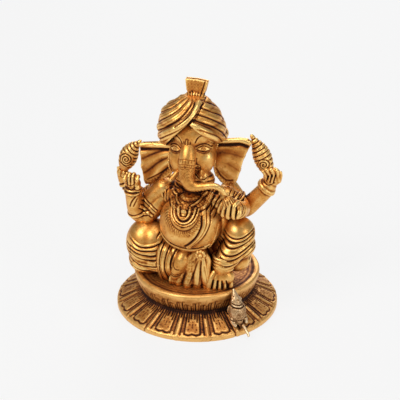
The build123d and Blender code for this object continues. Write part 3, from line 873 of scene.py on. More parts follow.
# ------------------------------------------------------------------ head
def head():
    """A high forehead, heavy cheeks, hooded eyes under arched brows, and a small smiling mouth."""
    at = drawn_round("head", 0, -12, 143.75)
    clay = Clay(at)
    clay.ball((0, -11.5, 143.2), (18.6, 16.0, 24.8), detail=5)
    clay.ball((-8.6, -17.5, 138.5), (9.6, 8.0, 13))
    clay.ball((9.0, -17.5, 139.5), (9.6, 8.0, 13))
    clay.ball((0.3, -17.0, 160.0), (15.2, 10.6, 11.8))
    clay.tube([(-0.8, -20, 160, 5.2), (-0.9, -22.5, 152, 5.8), (-0.6, -24, 146, 6.6),
        (-0.5, -25, 138, 6.6)])
    clay.ball((9.4, -20.5, 126.8), (5.4, 5.0, 4.6))
    clay.ball((11.0, -19.5, 123.0), (3.6, 4.6, 2.2))
    clay.ball((-9.5, -18.5, 126.5), (5.0, 5.0, 4.5))
    skin = clay.skin("head", 0.36, 16)
    x, _, z = skin.points.T
    front = ease(-skin.normals[:, 1], -0.1, 0.25)
    for cx, cz, tilt in ((-11.8, 147.4, -0.2), (10.9, 150.2, 0.2)):
        across, up = x - cx, z - cz + tilt * (x - cx)
        socket = np.hypot(across / 6.2, up / 4.6)
        skin.add(-1.35 * front * np.exp(-(socket**2)))
    skin.press()
    x, _, z = skin.points.T
    front = ease(-skin.normals[:, 1], -0.1, 0.25)
    for cx, cz, side in ((-11.8, 147.4, -1), (10.9, 150.2, 1)):
        across = (x - cx) * side
        up = z - cz + 0.20 * across
        almond = np.where(up > 0, 2.9, 1.7) * np.clip(1 - (across / 4.6) ** 2, 0, 1)
        inside = np.clip(1 - (np.abs(up) / np.maximum(almond, 0.05)) ** 2, 0, 1) * (np.abs(across) < 4.6)
        skin.add(front * 1.05 * np.sqrt(inside))
        lid = up - 2.9 * np.clip(1 - (across / 4.8) ** 2, 0, 1)
        skin.add(front * (np.abs(across) < 5.8) * 0.75 * np.exp(-(((lid - 0.7) / 0.65) ** 2)))
        skin.cut(front * (np.abs(across) < 5.5) * np.exp(-(((lid - 0.05) / 0.30) ** 2)), 0.40, 1.0)
        skin.cut(front * (np.abs(across) < 5.8) * np.exp(-(((lid - 2.0) / 0.35) ** 2)), 0.30, 0.8)
        under = up + 1.7 * np.clip(1 - (across / 4.6) ** 2, 0, 1)
        skin.cut(front * (np.abs(across) < 4.9) * np.exp(-((under / 0.30) ** 2)), 0.35, 1.0)
        skin.cut(front * (np.abs(across) < 4.6) * np.exp(-(((under + 1.4) / 0.35) ** 2)), 0.2, 0.5)
        pupil = np.hypot(across + 0.4, up - 0.1)
        skin.cut(front * np.exp(-(((pupil - 1.3) / 0.28) ** 2)), 0.25, 0.8)
        skin.cut(front * np.exp(-((pupil / 0.45) ** 2)), 0.3, 0.9)
    for brow in (
        [(-5.4, 154.6), (-7.2, 158.6), (-10.8, 160.6), (-14.6, 158.6), (-17.2, 153.4)],
        [(5.4, 156.6), (7.6, 161.2), (11.4, 163.2), (15.0, 161.0), (17.4, 155.4)],
    ):
        skin.scribe(smooth_path(brow, 0.6), 0.42, 0.6)
    # a generic forehead mark: a drop between two small curls
    skin.cord(smooth_path([(-0.9, 159.0), (-1.2, 156.6), (-0.9, 154.2)], 0.4), 0.75, 0.5, edge=0.3)
    curls = [(-3.6, 157.2), (-3.4, 155.2), (-1.8, 153.6), (0.4, 153.8), (1.6, 155.6), (1.8, 157.6)]
    skin.scribe(smooth_path(curls, 0.4), 0.3, 0.32, dark=0.8)
    # cheek ornament, mouth and temple creases
    skin.cord(arc(7.0, 135.4, 2.1, 20, 330), 0.55, 0.7, edge=0.45)
    skin.dimple((7.0, -26.5, 135.4), 0.7, 0.5, 1.0)
    skin.scribe(smooth_path([(4.8, 128.6), (8.6, 125.6), (12.8, 125.0), (15.2, 127.2)], 0.6), 0.5, 0.8)
    skin.scribe(smooth_path([(-5.6, 128.6), (-9.4, 125.8), (-13.2, 125.6)], 0.6), 0.5, 0.7)
    skin.scribe(smooth_path([(6.4, 143.5), (6.2, 141), (6.8, 138.0)], 0.6), 0.7, 0.35, dark=0.45)
    skin.scribe(smooth_path([(-7.6, 141.0), (-7.7, 138.5), (-7.4, 136.0)], 0.6), 0.7, 0.35, dark=0.45)
    skin.antique(0.9)
    return finish_piece(skin.object, figure_brass, "statue", "antique_brass", "head")


def trunk():
    """The trunk: engraved band and scallops at the top, a sharp turn, then a bright run out to the sweet."""
    at = drawn_round("trunk", 11.66, -31.3, 132.55)
    clay = Clay(at)
    path = [
        (-0.8, -19.4, 156.6, 3.6), (-0.7, -23.6, 151.0, 5.4), (-0.4, -27.2, 143.5, 6.8),
        (-0.4, -29.6, 135.0, 6.6), (0.4, -31.6, 128.4, 6.1),
        (3.2, -32.6, 123.6, 5.0), (8.2, -33.2, 122.4, 3.9), (14.0, -33.6, 123.8, 3.3),
        (20.0, -34.0, 125.3, 2.9),
        (25.0, -33.8, 124.8, 2.6), (28.4, -33.0, 122.2, 2.3), (30.2, -32.2, 118.4, 2.0),
    ]
    clay.tube(path)
    clay.tube([(24.5, -33.4, 124.6, 2.6), (29.0, -33.6, 122.8, 1.9), (31.6, -33.2, 118.6, 1.5)])
    skin = clay.skin("trunk", 0.32, 4)
    x, _, z = skin.points.T
    front = ease(-skin.normals[:, 1], 0.0, 0.3)
    for level in (145.2, 141.3, 139.4):
        bow = level - 0.05 * (x + 0.3) ** 2
        skin.cut(front * np.exp(-(((z - bow) / 0.30) ** 2)) * (z > 136), 0.2, 0.55)
    between = front * (z > 141.8) * (z < 144.8)
    skin.cut(between * valleys(x + 0.3, 2.3, 0.35) * (np.abs(z - 143.2) < 1.1), 0.2, 0.5)
    for cx, cz, radius in ((-2.9, 139.8, 2.6), (2.0, 140.3, 2.6)):
        ring = np.hypot(x - cx, z - cz)
        skin.cut(front * (z < cz) * np.exp(-(((ring - radius) / 0.3) ** 2)), 0.2, 0.55)
        skin.cut(front * (z < cz) * np.exp(-(((ring - radius * 0.5) / 0.25) ** 2)), 0.15, 0.4)
    skin.stipple(front * ease(z, 127, 130) * (1 - ease(z, 136.5, 138.5)), 1.5, 0.2, dark=0.6)
    skin.scribe(smooth_path([(-3.6, 126.0), (0.0, 121.0), (6.0, 118.9), (13.0, 120.4)], 0.8), 0.4, 0.3,
        dark=0.6)
    bend = np.degrees(np.arctan2(z - 129, x - 9))
    round_bend = (x > -6) * (x < 7) * (z < 128) * ease(skin.normals[:, 1], -0.7, 0.2)
    skin.cut(round_bend * valleys(bend, 9.0, 1.2), 0.25, 0.5)
    under = ease(-skin.normals[:, 2], 0.2, 0.7)
    skin.cut((x > 8) * under * valleys(x + 0.3 * z, 2.6, 0.4), 0.3, 0.6)
    skin.dimple((31.4, -34.4, 117.8), 0.8, 0.8, 1.0)
    skin.dimple((28.9, -33.4, 117.2), 0.8, 0.8, 1.0)
    skin.antique(0.8)
    return finish_piece(skin.object, figure_brass, "statue", "antique_brass", "trunk")


def tusks():
    """A short broken tusk on its right and a curved whole one on its left, each with a collar."""
    made = []
    for node, name, middle_at, run, collar in (
        ("right_tusk", "broken_tusk", (-11.85, -24.85, 125.62),
         [(-9.5, -21.5, 128.0, 2.7), (-12.0, -24.8, 125.4, 2.2), (-14.2, -27.6, 123.0, 1.7)],
         (-10.6, -22.9, 126.9, 3.1)),
        ("left_tusk", "whole_tusk", (10.58, -26.97, 130.68),
         [(9.6, -22.5, 131.6, 2.8), (10.4, -26.5, 129.8, 2.3), (11.4, -30.6, 129.4, 1.5),
         (12.0, -32.4, 130.6, 1.0)],
         (10.0, -24.4, 130.6, 3.1)),
    ):
        clay = Clay(drawn_round(node, *middle_at))
        clay.tube(run)
        clay.ball(collar[:3], collar[3] * 0.82, detail=4)
        skin = clay.skin(name, 0.25, 2)
        skin.antique(0.7)
        made.append(finish_piece(skin.object, figure_brass, "statue", "antique_brass", node))
    return made


def ear(node, name, drawn, hub, outline, folds):
    """A flat ear fanned with ribs."""
    at = drawn_round(node, *drawn)
    clay = Clay(at)
    clay.slab(outline, 3.4, -6.0)
    skin = clay.skin(name, 0.4, 5)
    x, _, z = skin.points.T
    bearing = np.degrees(np.arctan2(z - hub[1], np.abs(x - hub[0])))
    away = np.hypot(x - hub[0], z - hub[1])
    facing = ease(-skin.normals[:, 1], 0.1, 0.5)
    behind = ease(skin.normals[:, 1], 0.1, 0.5)
    wave = np.cos(np.radians((bearing - folds[0] + 2.0 * np.sin(away / 7)) * 360 / folds[1]))
    grow = ease(away, 20, 36)
    skin.add(facing * grow * (folds[2] * wave))
    skin.add(-behind * grow * (0.6 * wave))
    cleft = valleys(bearing - folds[0] - folds[1] / 2 + 2.0 * np.sin(away / 7), folds[1], 1.0)
    skin.cut(facing * grow * cleft, 0.2, folds[3])
    skin.press()
    return at, skin


def ears():
    """Both ears, with a roll along the top, a string of beads along the root and a stippled hem."""
    made = []
    right = [(-15, 140.0), (-20, 144.6), (-28, 144.4), (-38, 142.6), (-45.8, 141.0), (-45.2, 134),
        (-44.6, 122), (-43.0, 112), (-41.0, 105.5), (-35.5, 106.6), (-28, 111.4), (-21, 116.8),
        (-15, 122)]
    at, skin = ear("right_ear", "right_ear", (-30.5, -6, 125.24), (4, 147), right,
        (-14.0, 12.0, 0.55, 0.45))
    finish_ear(skin, [(-19.5, 142.6), (-30, 142.0), (-44.5, 139.8)],
        [(-17.4, 124.5), (-25, 117.0), (-33, 111.4), (-39.5, 107.6)])
    made.append(finish_piece(skin.object, figure_brass, "statue", "antique_brass", "right_ear"))
    beads("right_ear_beads", at, [(-19.2, -9.6, 141.5), (-20.8, -9.6, 133), (-20.4, -9.6, 125),
        (-18.4, -9.8, 120.5)], 0.85, 1.6, figure_brass, "statue", "antique_brass")
    left = [(15, 150.5), (20, 152.6), (28, 154.4), (37, 156.0), (42.8, 155.6), (45.6, 151.6),
        (42.4, 145), (39.5, 138), (37.2, 129), (34.6, 119), (31.4, 113.2), (27.0, 112.6), (21.5, 116),
        (17, 121), (15, 127)]
    at, skin = ear("left_ear", "left_ear", (30.5, -6, 134.2), (-3, 144), left, (2.0, 17.0, 0.35, 0.12))
    x, _, z = skin.points.T
    # painted shade: a dent across the ear's upper part is darkened as the shade in it, and elsewhere the
    # ear's colour is made a little lighter
    hollow = np.exp(-(((z - 141.0 - 0.42 * (x - 20)) / 5.0) ** 2)) * ease(36 - x, 0, 12)
    skin.add(-1.3 * hollow * ease(-skin.normals[:, 1], 0.1, 0.5), 0.55 * hollow - 0.2)
    finish_ear(skin, [(19.5, 151.6), (28, 152.6), (37, 154.0), (43.6, 152.4)],
        [(17.6, 124), (21.4, 118.6), (26.4, 115), (31, 115.6)])
    made.append(finish_piece(skin.object, figure_brass, "statue", "antique_brass", "left_ear"))
    beads("left_ear_beads", at, [(19.0, -9.6, 149.6), (17.4, -9.7, 143), (17.2, -9.8, 136),
        (16.8, -9.8, 128), (18.4, -9.6, 121.5)], 0.85, 1.6, figure_brass, "statue", "antique_brass")
    return made


def finish_ear(skin, roll, hem):
    """The rolled upper edge with the shadow under it, and the stippled hem along the root."""
    skin.cord(smooth_path(roll, 0.8), 2.0, 1.5)
    under = [(px, pz - 3.4) for px, pz in roll]
    skin.scribe(smooth_path(under, 0.8), 1.6, 1.0, dark=0.9)
    run = [(px, 0, pz) for px, pz in smooth_path(hem, 0.8)]
    band = np.exp(-((skin.to_line(run, (0, 1, 0)) / 2.3) ** 4))
    skin.stipple(band, 1.4, 0.4, dark=0.8)
    inner = [(px, pz + 3.2) for px, pz in hem]
    skin.scribe(smooth_path(inner, 0.8), 0.45, 0.5)
    skin.antique(0.55)


def turban():
    """Wraps of cloth: slanting coils on its right, level coils on its left, a broad band in front."""
    at = drawn_round("turban", -3, -6.21, 167.95)
    clay = Clay(at)
    clay.ball((-3, -5.8, 160.5), (27.2, 26.6, 16.6), detail=5)
    clay.ball((-3.6, -5.8, 168.5), (24.6, 23.4, 15.4), detail=5)
    clay.ball((-2.0, -5.6, 178.0), (16.2, 15.4, 9.6), detail=5)
    clay.ball((-16, -12, 155.5), (12.4, 13.0, 8.0))
    clay.tube([(-20.6, -14, 149.4, 3.4), (-21.8, -20.5, 155.0, 3.8), (-17.4, -26.6, 161.4, 4.0),
        (-10.2, -29.6, 167.4, 3.8), (-3.6, -29.2, 173.0, 3.4), (1.6, -26.4, 177.6, 3.0),
        (4.4, -21.0, 182.2, 2.8), (5.0, -14.0, 186.0, 2.4)])
    clay.tube([(0.6, -28.6, 174.2, 1.6), (6.6, -28.0, 170.8, 3.0), (13.4, -24.6, 165.6, 3.6),
        (19.0, -16.5, 158.6, 3.8), (21.4, -5, 154.2, 3.6), (20.4, 7, 152.8, 3.4), (14, 15.5, 152.4, 3.6),
        (2, 20.5, 152.4, 3.8), (-10, 20, 152.2, 3.8), (-20, 11.5, 151.6, 3.8), (-24.4, 0, 151.0, 3.6),
        (-20.6, -14, 149.4, 3.4)])
    skin = clay.skin("turban", 0.42, 6)
    x, y, z = skin.points.T
    bearing = np.arctan2(x + 3, -(y + 6))
    waver = 1.2 * ripple(skin.points, 15.0) + 0.25 * ripple(skin.points, 6.0, 1.0)
    boundary = x - 1.0 - 0.55 * (z - 172)
    front_right = ease(-boundary, -0.6, 0.6) * ease(2.35 - np.abs(bearing + 0.4), 0, 0.2) * (bearing < 0.9)
    front_left = ease(boundary, -0.6, 0.6) * ease(bearing, -0.1, 0.1) * ease(2.1 - bearing, 0, 0.2)
    behind = (1 - front_right) * (1 - front_left)
    low = ease(188 - z, 0, 3)
    slant = z - 18.0 * bearing + waver
    wrap(skin, front_right * low, slant, 9.0, 1.5, 0.85)
    wrap(skin, front_right * low, slant, 3.0, 0.34, 0.42)
    level = z + bearing * (10.5 - 0.38 * (z - 165)) + waver
    wrap(skin, front_left * low, level, 3.7, 0.85, 0.8)
    wrap(skin, front_left * low, level + 0.6, 1.75, 0.14, 0.2)
    wind = z + 5.0 * np.sin(bearing) + 1.4 * waver
    wrap(skin, behind * low, wind, 5.6, 0.95, 0.75)
    wrap(skin, behind * low, wind, 1.87, 0.22, 0.3)
    skin.press()
    for line in (
        [(-0.4, 171.6), (3.6, 176.6), (6.4, 180.4), (8.0, 184.2)],
        [(-9.4, 171.6), (-3.4, 176.6), (0.8, 180.6), (2.4, 185.4)],
    ):
        skin.scribe(smooth_path(line, 0.8), 0.7, 0.9)
    skin.press()
    cut_opening(skin)
    skin.antique(0.9)
    return finish_piece(skin.object, figure_brass, "statue", "antique_brass", "turban")


def wrap(skin, where, field, pitch, height, dark):
    """Rolls of cloth along a field: rounded between the tucks, with a narrow dark tuck at every pitch."""
    off = np.abs((field / pitch + 0.5) % 1 - 0.5) * 2
    skin.add(where * height * (np.sqrt(np.clip(off * (2 - off), 0, 1)) - 0.75))
    skin.dark = np.maximum(skin.dark, where * dark * np.exp(-((off * pitch / 2 / 0.55) ** 2)))


def cut_opening(skin):
    """Draws the cloth back to a peaked opening over the forehead and hollows it to clear the head."""
    x, y, z = skin.points.T
    beside = np.abs(x - 0.8)
    edge = 172.4 - np.where(x > 0.8, 0.62 * beside + 0.022 * beside**2, 0.85 * beside + 0.012 * beside**2)
    inside = (y < -10) & (z < edge + 1.5)
    forehead = -15.5 - 9.6 * np.sqrt(np.clip(1 - (x / 17.0) ** 2 - ((z - 158.0) / 15.0) ** 2, 0, 1))
    depth = ease(edge - z, -1.5, 1.0)
    target = np.maximum(y, forehead + 1.5)
    skin.points[:, 1] = np.where(inside, y + depth * (np.maximum(target, y) - y), y)
    skin.write()


def crest():
    """The fan-shaped end of the cloth standing up from the wraps."""
    at = drawn_round("turban_crest", 0.75, -2, 191.2)
    clay = Clay(at)
    clay.slab([(-5.8, 182.6), (-7.6, 190.0), (-8.6, 200.1), (0.5, 200.3), (9.8, 199.2), (7.2, 190.5),
        (4.8, 182.6)], 5.0, -2.0)
    clay.tube([(-6.6, -2.6, 186.5, 2.2), (-0.6, -4.2, 187.5, 2.6), (5.2, -2.6, 186.5, 2.2)])
    clay.tube([(8.2, 0.0, 198.0, 1.3), (6.4, 0.4, 191.5, 1.5), (4.6, 0.4, 185.5, 1.7)])
    skin = clay.skin("turban_crest", 0.3, 4)
    x, y, z = skin.points.T
    fan = np.degrees(np.arctan2(x - 0.3, z - 168))
    jagged = 1.5 * np.sin(x * 1.4)
    skin.cut((1 - ease(z, 188.2 + jagged, 191 + jagged)) * valleys(fan + 1.0, 6.2, 1.0), 0.6, 0.9)
    skin.stipple(ease(-skin.normals[:, 1], 0, 0.3) * ease(z, 190, 192), 2.6, 0.08, dark=0.12)
    skin.scribe([(7.4, 199.4), (5.6, 193.0), (4.0, 188.0)], 0.4, 0.45)
    skin.cut(ease(skin.normals[:, 2], 0.6, 0.9) * np.exp(-(((y + 2.0) / 0.8) ** 2)), 0.5, 0.7)
    skin.antique(0.8)
    return finish_piece(skin.object, figure_brass, "statue", "antique_brass", "turban_crest")


# ------------------------------------------------------------------ arms and hands
def right_front_arm():
    """The blessing arm: a folded sleeve at the elbow, a bare forearm, and a palm with curled fingers."""
    at = drawn_round("right_front_arm", -37.2, -13.75, 97.97)
    clay = Clay(at)
    clay.tube([(-26, -6.5, 104.5, 8.0), (-35, -8.5, 95, 8.3), (-43.5, -11.5, 83.5, 8.4),
        (-46.2, -14, 86, 8.0), (-47.6, -17.2, 97, 7.0), (-47.8, -19.4, 106, 6.6)])
    clay.ball((-42.8, -11.8, 80.6), (8.8, 8.2, 7.2))
    clay.tube([(-25, -8, 99, 7.0), (-32, -11, 89, 7.6), (-38, -13, 81, 7.0)])
    clay.tube([(-26, -4, 98, 8.0), (-32.5, -5, 88, 8.4), (-38, -8, 80, 7.5)])
    clay.ball((-47.6, -20.2, 112.4), (6.6, 4.8, 6.4), (14, 0, 0))
    clay.ball((-43.2, -22.4, 110.6), (2.6, 3.0, 4.2), (0, -20, 0))
    for x, lean, tip, size in ((-52.4, -0.9, 116.6, 1.75), (-49.6, -0.3, 118.9, 1.85),
        (-46.6, 0.3, 119.2, 1.85), (-43.7, 0.9, 117.6, 1.7)):
        clay.tube([(x, -21.0, 112.0, size), (x + lean * 0.5, -23.4, 116.0, size),
            (x + lean, -23.8, tip, size * 0.98), (x + lean, -21.4, tip + 1.9, size * 0.9),
            (x + lean * 0.8, -19.2, tip + 0.2, size * 0.85)])
    skin = clay.skin("right_front_arm", 0.32, 3)
    skin.hoop((-43.5, -11.5, 83.5), (-47.6, -17.2, 97), 0.22, 1.4, 0.9)
    skin.hoop((-26, -6.5, 104.5), (-43.5, -11.5, 83.5), 0.78, 1.4, 0.8)
    skin.hoop((-26, -6.5, 104.5), (-43.5, -11.5, 83.5), 0.58, 0.9, 0.6)
    skin.hoop((-47.6, -17.2, 97), (-47.8, -20.4, 112), 0.56, 1.2, 0.9)
    skin.hoop((-47.6, -17.2, 97), (-47.8, -20.4, 112), 0.78, 0.8, 0.6)
    skin.scribe(smooth_path([(-49.6, 92.6), (-47.6, 97.6), (-44.6, 101.8)], 0.7), 0.6, 0.6, dark=0.8)
    skin.scribe(smooth_path([(-46.6, 93.0), (-44.6, 97.0), (-43.2, 100.0)], 0.7), 0.5, 0.4, dark=0.6)
    skin.scribe(smooth_path([(-51.5, 110.2), (-47.6, 108.8), (-44.0, 111.2)], 0.6), 0.35, 0.4)
    skin.scribe(smooth_path([(-51.8, 112.8), (-47.8, 112.0), (-45.0, 114.0)], 0.6), 0.35, 0.35)
    for x in (-51.0, -48.1, -45.2):
        skin.scribe([(x, 111.5), (x + 0.1, 116), (x + 0.2, 121.5)], 0.38, 0.55)
    skin.antique(0.9)
    return finish_piece(skin.object, figure_brass, "statue", "antique_brass", "right_front_arm")


def left_front_arm():
    """The arm that holds the sweet: elbow drawn in, wrist bangles, four fingers closed over the ball."""
    at = drawn_round("left_front_arm", 31.75, -16.8, 99.9)
    clay = Clay(at)
    clay.tube([(26, -6.5, 104.5, 8.0), (34, -5.5, 98.5, 8.0), (38.2, -8.0, 95.5, 7.5),
        (39.2, -15, 97.0, 6.8), (38.2, -22, 101.0, 6.4), (36.5, -26, 104.0, 6.4)])
    clay.ball((35.6, -27.6, 106.6), (7.2, 6.2, 6.0))
    for knuckle, tip, size in (((28.9, -30.6, 109.4), (25.9, -31.2, 102.2), 1.75),
            ((31.6, -32.2, 110.8), (29.4, -33.4, 100.6), 1.95),
            ((35.2, -33.0, 111.0), (33.8, -34.0, 99.6), 1.95),
            ((38.8, -32.4, 109.8), (38.2, -33.2, 99.4), 1.85)):
        kx, ky, kz = knuckle
        tx, ty, tz = tip
        clay.tube([(kx + 1.4, ky + 4.2, kz + 1.2, size), (kx, ky, kz, size * 1.06),
            ((kx + tx) / 2 - 0.3, (ky + ty) / 2 - 1.0, (kz + tz) / 2, size), (tx, ty, tz, size * 0.9),
            (tx + 0.6, ty + 2.6, tz - 0.8, size * 0.8)])
    clay.tube([(42.0, -28.5, 106.0, 2.4), (42.2, -31.2, 102.6, 2.2), (40.8, -32.2, 99.6, 1.9)])
    skin = clay.skin("left_front_arm", 0.32, 2)
    skin.hoop((39.2, -15, 97.0), (36.5, -26, 104.0), 0.42, 1.2, 1.0)
    skin.hoop((39.2, -15, 97.0), (36.5, -26, 104.0), 0.66, 0.9, 0.8)
    skin.hoop((26, -6.5, 104.5), (38.2, -8.0, 95.5), 0.45, 1.2, 0.8)
    skin.hoop((26, -6.5, 104.5), (38.2, -8.0, 95.5), 0.70, 0.9, 0.7)
    for top, low in (((30.2, 110.5), (27.6, 101.0)), ((33.4, 111.6), (31.6, 99.4)),
        ((37.0, 111.0), (36.0, 98.8)), ((40.6, 108.6), (40.2, 98.8))):
        skin.scribe([top, low], 0.42, 0.7)
    skin.antique(0.9)
    return finish_piece(skin.object, figure_brass, "statue", "antique_brass", "left_front_arm")


def sweet():
    """The round sweet in the left hand, its crown pinched into a whorl."""
    clay = Clay(drawn_round("sweet_ball", 33.5, -31, 111.73))
    clay.ball((33.5, -31, 111.6), 4.9)
    clay.ball((33.5, -31.6, 115.0), 2.0)
    skin = clay.skin("sweet_ball", 0.28, 2)
    x, y, z = skin.points.T
    turn = np.degrees(np.arctan2(y + 31, x - 33.5))
    off_axis = ease(np.hypot(x - 33.5, y + 31), 0.8, 1.8)
    skin.cut((z > 109) * valleys(turn + 5 * z, 30.0, 5.0) * off_axis, 0.35, 0.8)
    skin.antique()
    return finish_piece(skin.object, figure_brass, "statue", "antique_brass", "sweet_ball")


def right_rear_arm():
    """The raised arm on its right: bare upper arm, bangles, and a hand round the foot of the conch."""
    at = drawn_round("right_rear_arm", -43.03, 3.2, 98.45)
    clay = Clay(at)
    clay.tube([(-26, 4, 104.5, 8.0), (-36, 3.8, 95, 7.7), (-46, 3, 88.8, 7.3), (-54, 1.5, 95, 6.3),
        (-59.6, 0.2, 102.4, 5.7), (-61.6, 0, 107.5, 5.2)])
    clay.ball((-61.6, -0.6, 110.4), (4.4, 4.2, 4.4))
    for x, y, tip, size in ((-65.4, -2.2, 116.0, 1.4), (-64.0, -3.8, 113.6, 1.5),
        (-60.6, -4.6, 113.4, 1.55), (-57.8, -3.8, 112.8, 1.5)):
        clay.tube([(x * 0.5 - 30.8, -2.5, 107.6, size), (x, y, 110.6, size),
            (x + 0.6, y + 0.4, tip - 0.6, size * 0.9)])
    clay.tube([(-64.5, 0.5, 110.5, 1.6), (-66.2, 0, 113.4, 1.1), (-66.6, -0.4, 114.6, 0.8)])
    skin = clay.skin("right_rear_arm", 0.32, 2)
    skin.hoop((-54, 1.5, 95), (-61.6, 0, 107.5), 0.62, 1.5, 1.0)
    skin.hoop((-54, 1.5, 95), (-61.6, 0, 107.5), 0.36, 1.0, 0.7)
    skin.hoop((-26, 4, 104.5), (-46, 3, 88.8), 0.55, 1.2, 0.8)
    skin.hoop((-26, 4, 104.5), (-46, 3, 88.8), 0.72, 0.8, 0.6)
    skin.antique(1.0)
    return finish_piece(skin.object, figure_brass, "statue", "antique_brass", "right_rear_arm")


def left_rear_arm():
    """The raised arm on its left: a smooth forearm, a double bangle and a broad open hand."""
    at = drawn_round("left_rear_arm", 43.68, 6, 105)
    clay = Clay(at)
    clay.tube([(26, 4, 104.5, 8.0), (34, 6, 92, 8.0), (38.5, 6.2, 88.6, 7.7), (46.5, 6, 97, 7.3),
        (54.0, 6, 106, 7.0), (57.2, 6, 111.5, 6.6)])
    for share, thick in ((0.0, 1.5), (0.34, 1.3)):
        ring = []
        for a in np.linspace(0, 2 * pi, 28):
            place = Vector((55.4 + 2.2 * share, 6, 108.8 + 4.6 * share)) + 7.0 * (
                cos(a) * Vector((0.80, 0, -0.60)) + sin(a) * Vector((0, 1, 0)))
            ring.append((*place, thick))
        clay.tube(ring)
    clay.ball((60.4, 5.0, 119.6), (7.4, 5.0, 8.6), (0, 18, 0))
    for (x, y, z), (tx, ty, tz), size in (
        ((56.0, 1.5, 121.5), (54.8, -0.8, 125.6), 1.7), ((59.0, 1.0, 123.4), (57.4, -1.6, 127.8), 1.8),
        ((62.2, 1.4, 124.0), (61.0, -1.2, 128.4), 1.8), ((65.2, 2.4, 122.8), (65.2, 0.4, 127.4), 1.7),
    ):
        clay.tube([(x + 0.8, y + 0.6, z - 4.4, size), (x, y, z, size * 1.05), (tx, ty, tz, size * 0.9),
            (tx - 1.4, ty + 0.8, tz + 0.6, size * 0.8)])
    clay.tube([(65.6, 4.6, 117.0, 2.4), (67.0, 4.0, 121.6, 1.9), (67.2, 3.4, 125.0, 1.5)])
    skin = clay.skin("left_rear_arm", 0.32, 2)
    for line in ([(56.4, 117.2), (58.4, 122.8)], [(59.4, 116.4), (61.2, 124.0)],
        [(62.2, 116.4), (64.0, 123.6)]):
        skin.scribe(line, 0.5, 0.8)
    skin.scribe(smooth_path([(54.2, 115.8), (58.6, 114.2), (63.4, 116.4)], 0.7), 0.4, 0.5)
    skin.hoop((26, 4, 104.5), (38.5, 6.2, 88.6), 0.5, 1.2, 0.8)
    skin.antique(0.95)
    return finish_piece(skin.object, figure_brass, "statue", "antique_brass", "left_rear_arm")


def conch(node, name, drawn, run, eye, bands):
    """A spindle of a shell with a coiled eye and bands round its spire."""
    at = drawn_round(node, *drawn)
    clay = Clay(at)
    clay.tube(run)
    skin = clay.skin(name, 0.26, 2)
    eye_x, eye_z = eye
    x, _, z = skin.points.T
    spine = np.array(run)[:, :3]
    from_tip = np.linalg.norm(skin.points - spine[-1], axis=1)
    facing = ease(-skin.normals[:, 1], 0.0, 0.35)
    out = np.hypot(x - eye_x, z - eye_z)
    turn = np.arctan2(z - eye_z, x - eye_x) / (2 * pi)
    near = 1 - ease(out, bands[0] - 1.0, bands[0])
    skin.cut(facing * near * valleys(out - 2.1 * turn, 2.1, 0.42), 0.6, 0.8)
    skin.dimple((eye_x, spine[2][1] - 7, eye_z), 0.6, 0.3, 0.9)
    beyond = 1 - facing * near
    skin.cut(beyond * valleys(from_tip, bands[1], 0.42) * (from_tip < bands[2]), 0.5, 0.75)
    skin.add(beyond * (from_tip < bands[2]) * 0.35 * (1 - valleys(from_tip, bands[1], 1.0)))
    skin.antique(1.0)
    return finish_piece(skin.object, figure_brass, "statue", "antique_brass", node)


def conches():
    """The shells in the two rear hands."""
    conch("right_hand_conch", "right_conch", (-55.39, -0.93, 127.87), [
        (-60.3, -1, 115.6, 3.6), (-59.2, -1.2, 119.6, 5.8), (-57.4, -1.4, 124.0, 7.2),
        (-55.8, -1.4, 128.6, 7.2),
        (-53.2, -1.5, 133.4, 5.2), (-50.0, -1.8, 137.6, 2.6), (-46.3, -2, 141.2, 1.0)], (-56.8, 126.4),
        (6.4, 3.1, 26.0))
    conch("left_hand_conch", "left_conch", (51.03, 5, 138.39), [
        (56.8, 5, 124.4, 3.6), (55.2, 5, 128.2, 5.8), (53.4, 5, 132.4, 7.0), (51.6, 5, 137.0, 7.3),
        (49.6, 5, 142.0, 6.1),
        (47.0, 5, 146.8, 3.9), (44.8, 5, 150.6, 2.2), (43.0, 5, 153.4, 1.2)], (54.6, 132.2),
        (5.6, 3.4, 30.0))


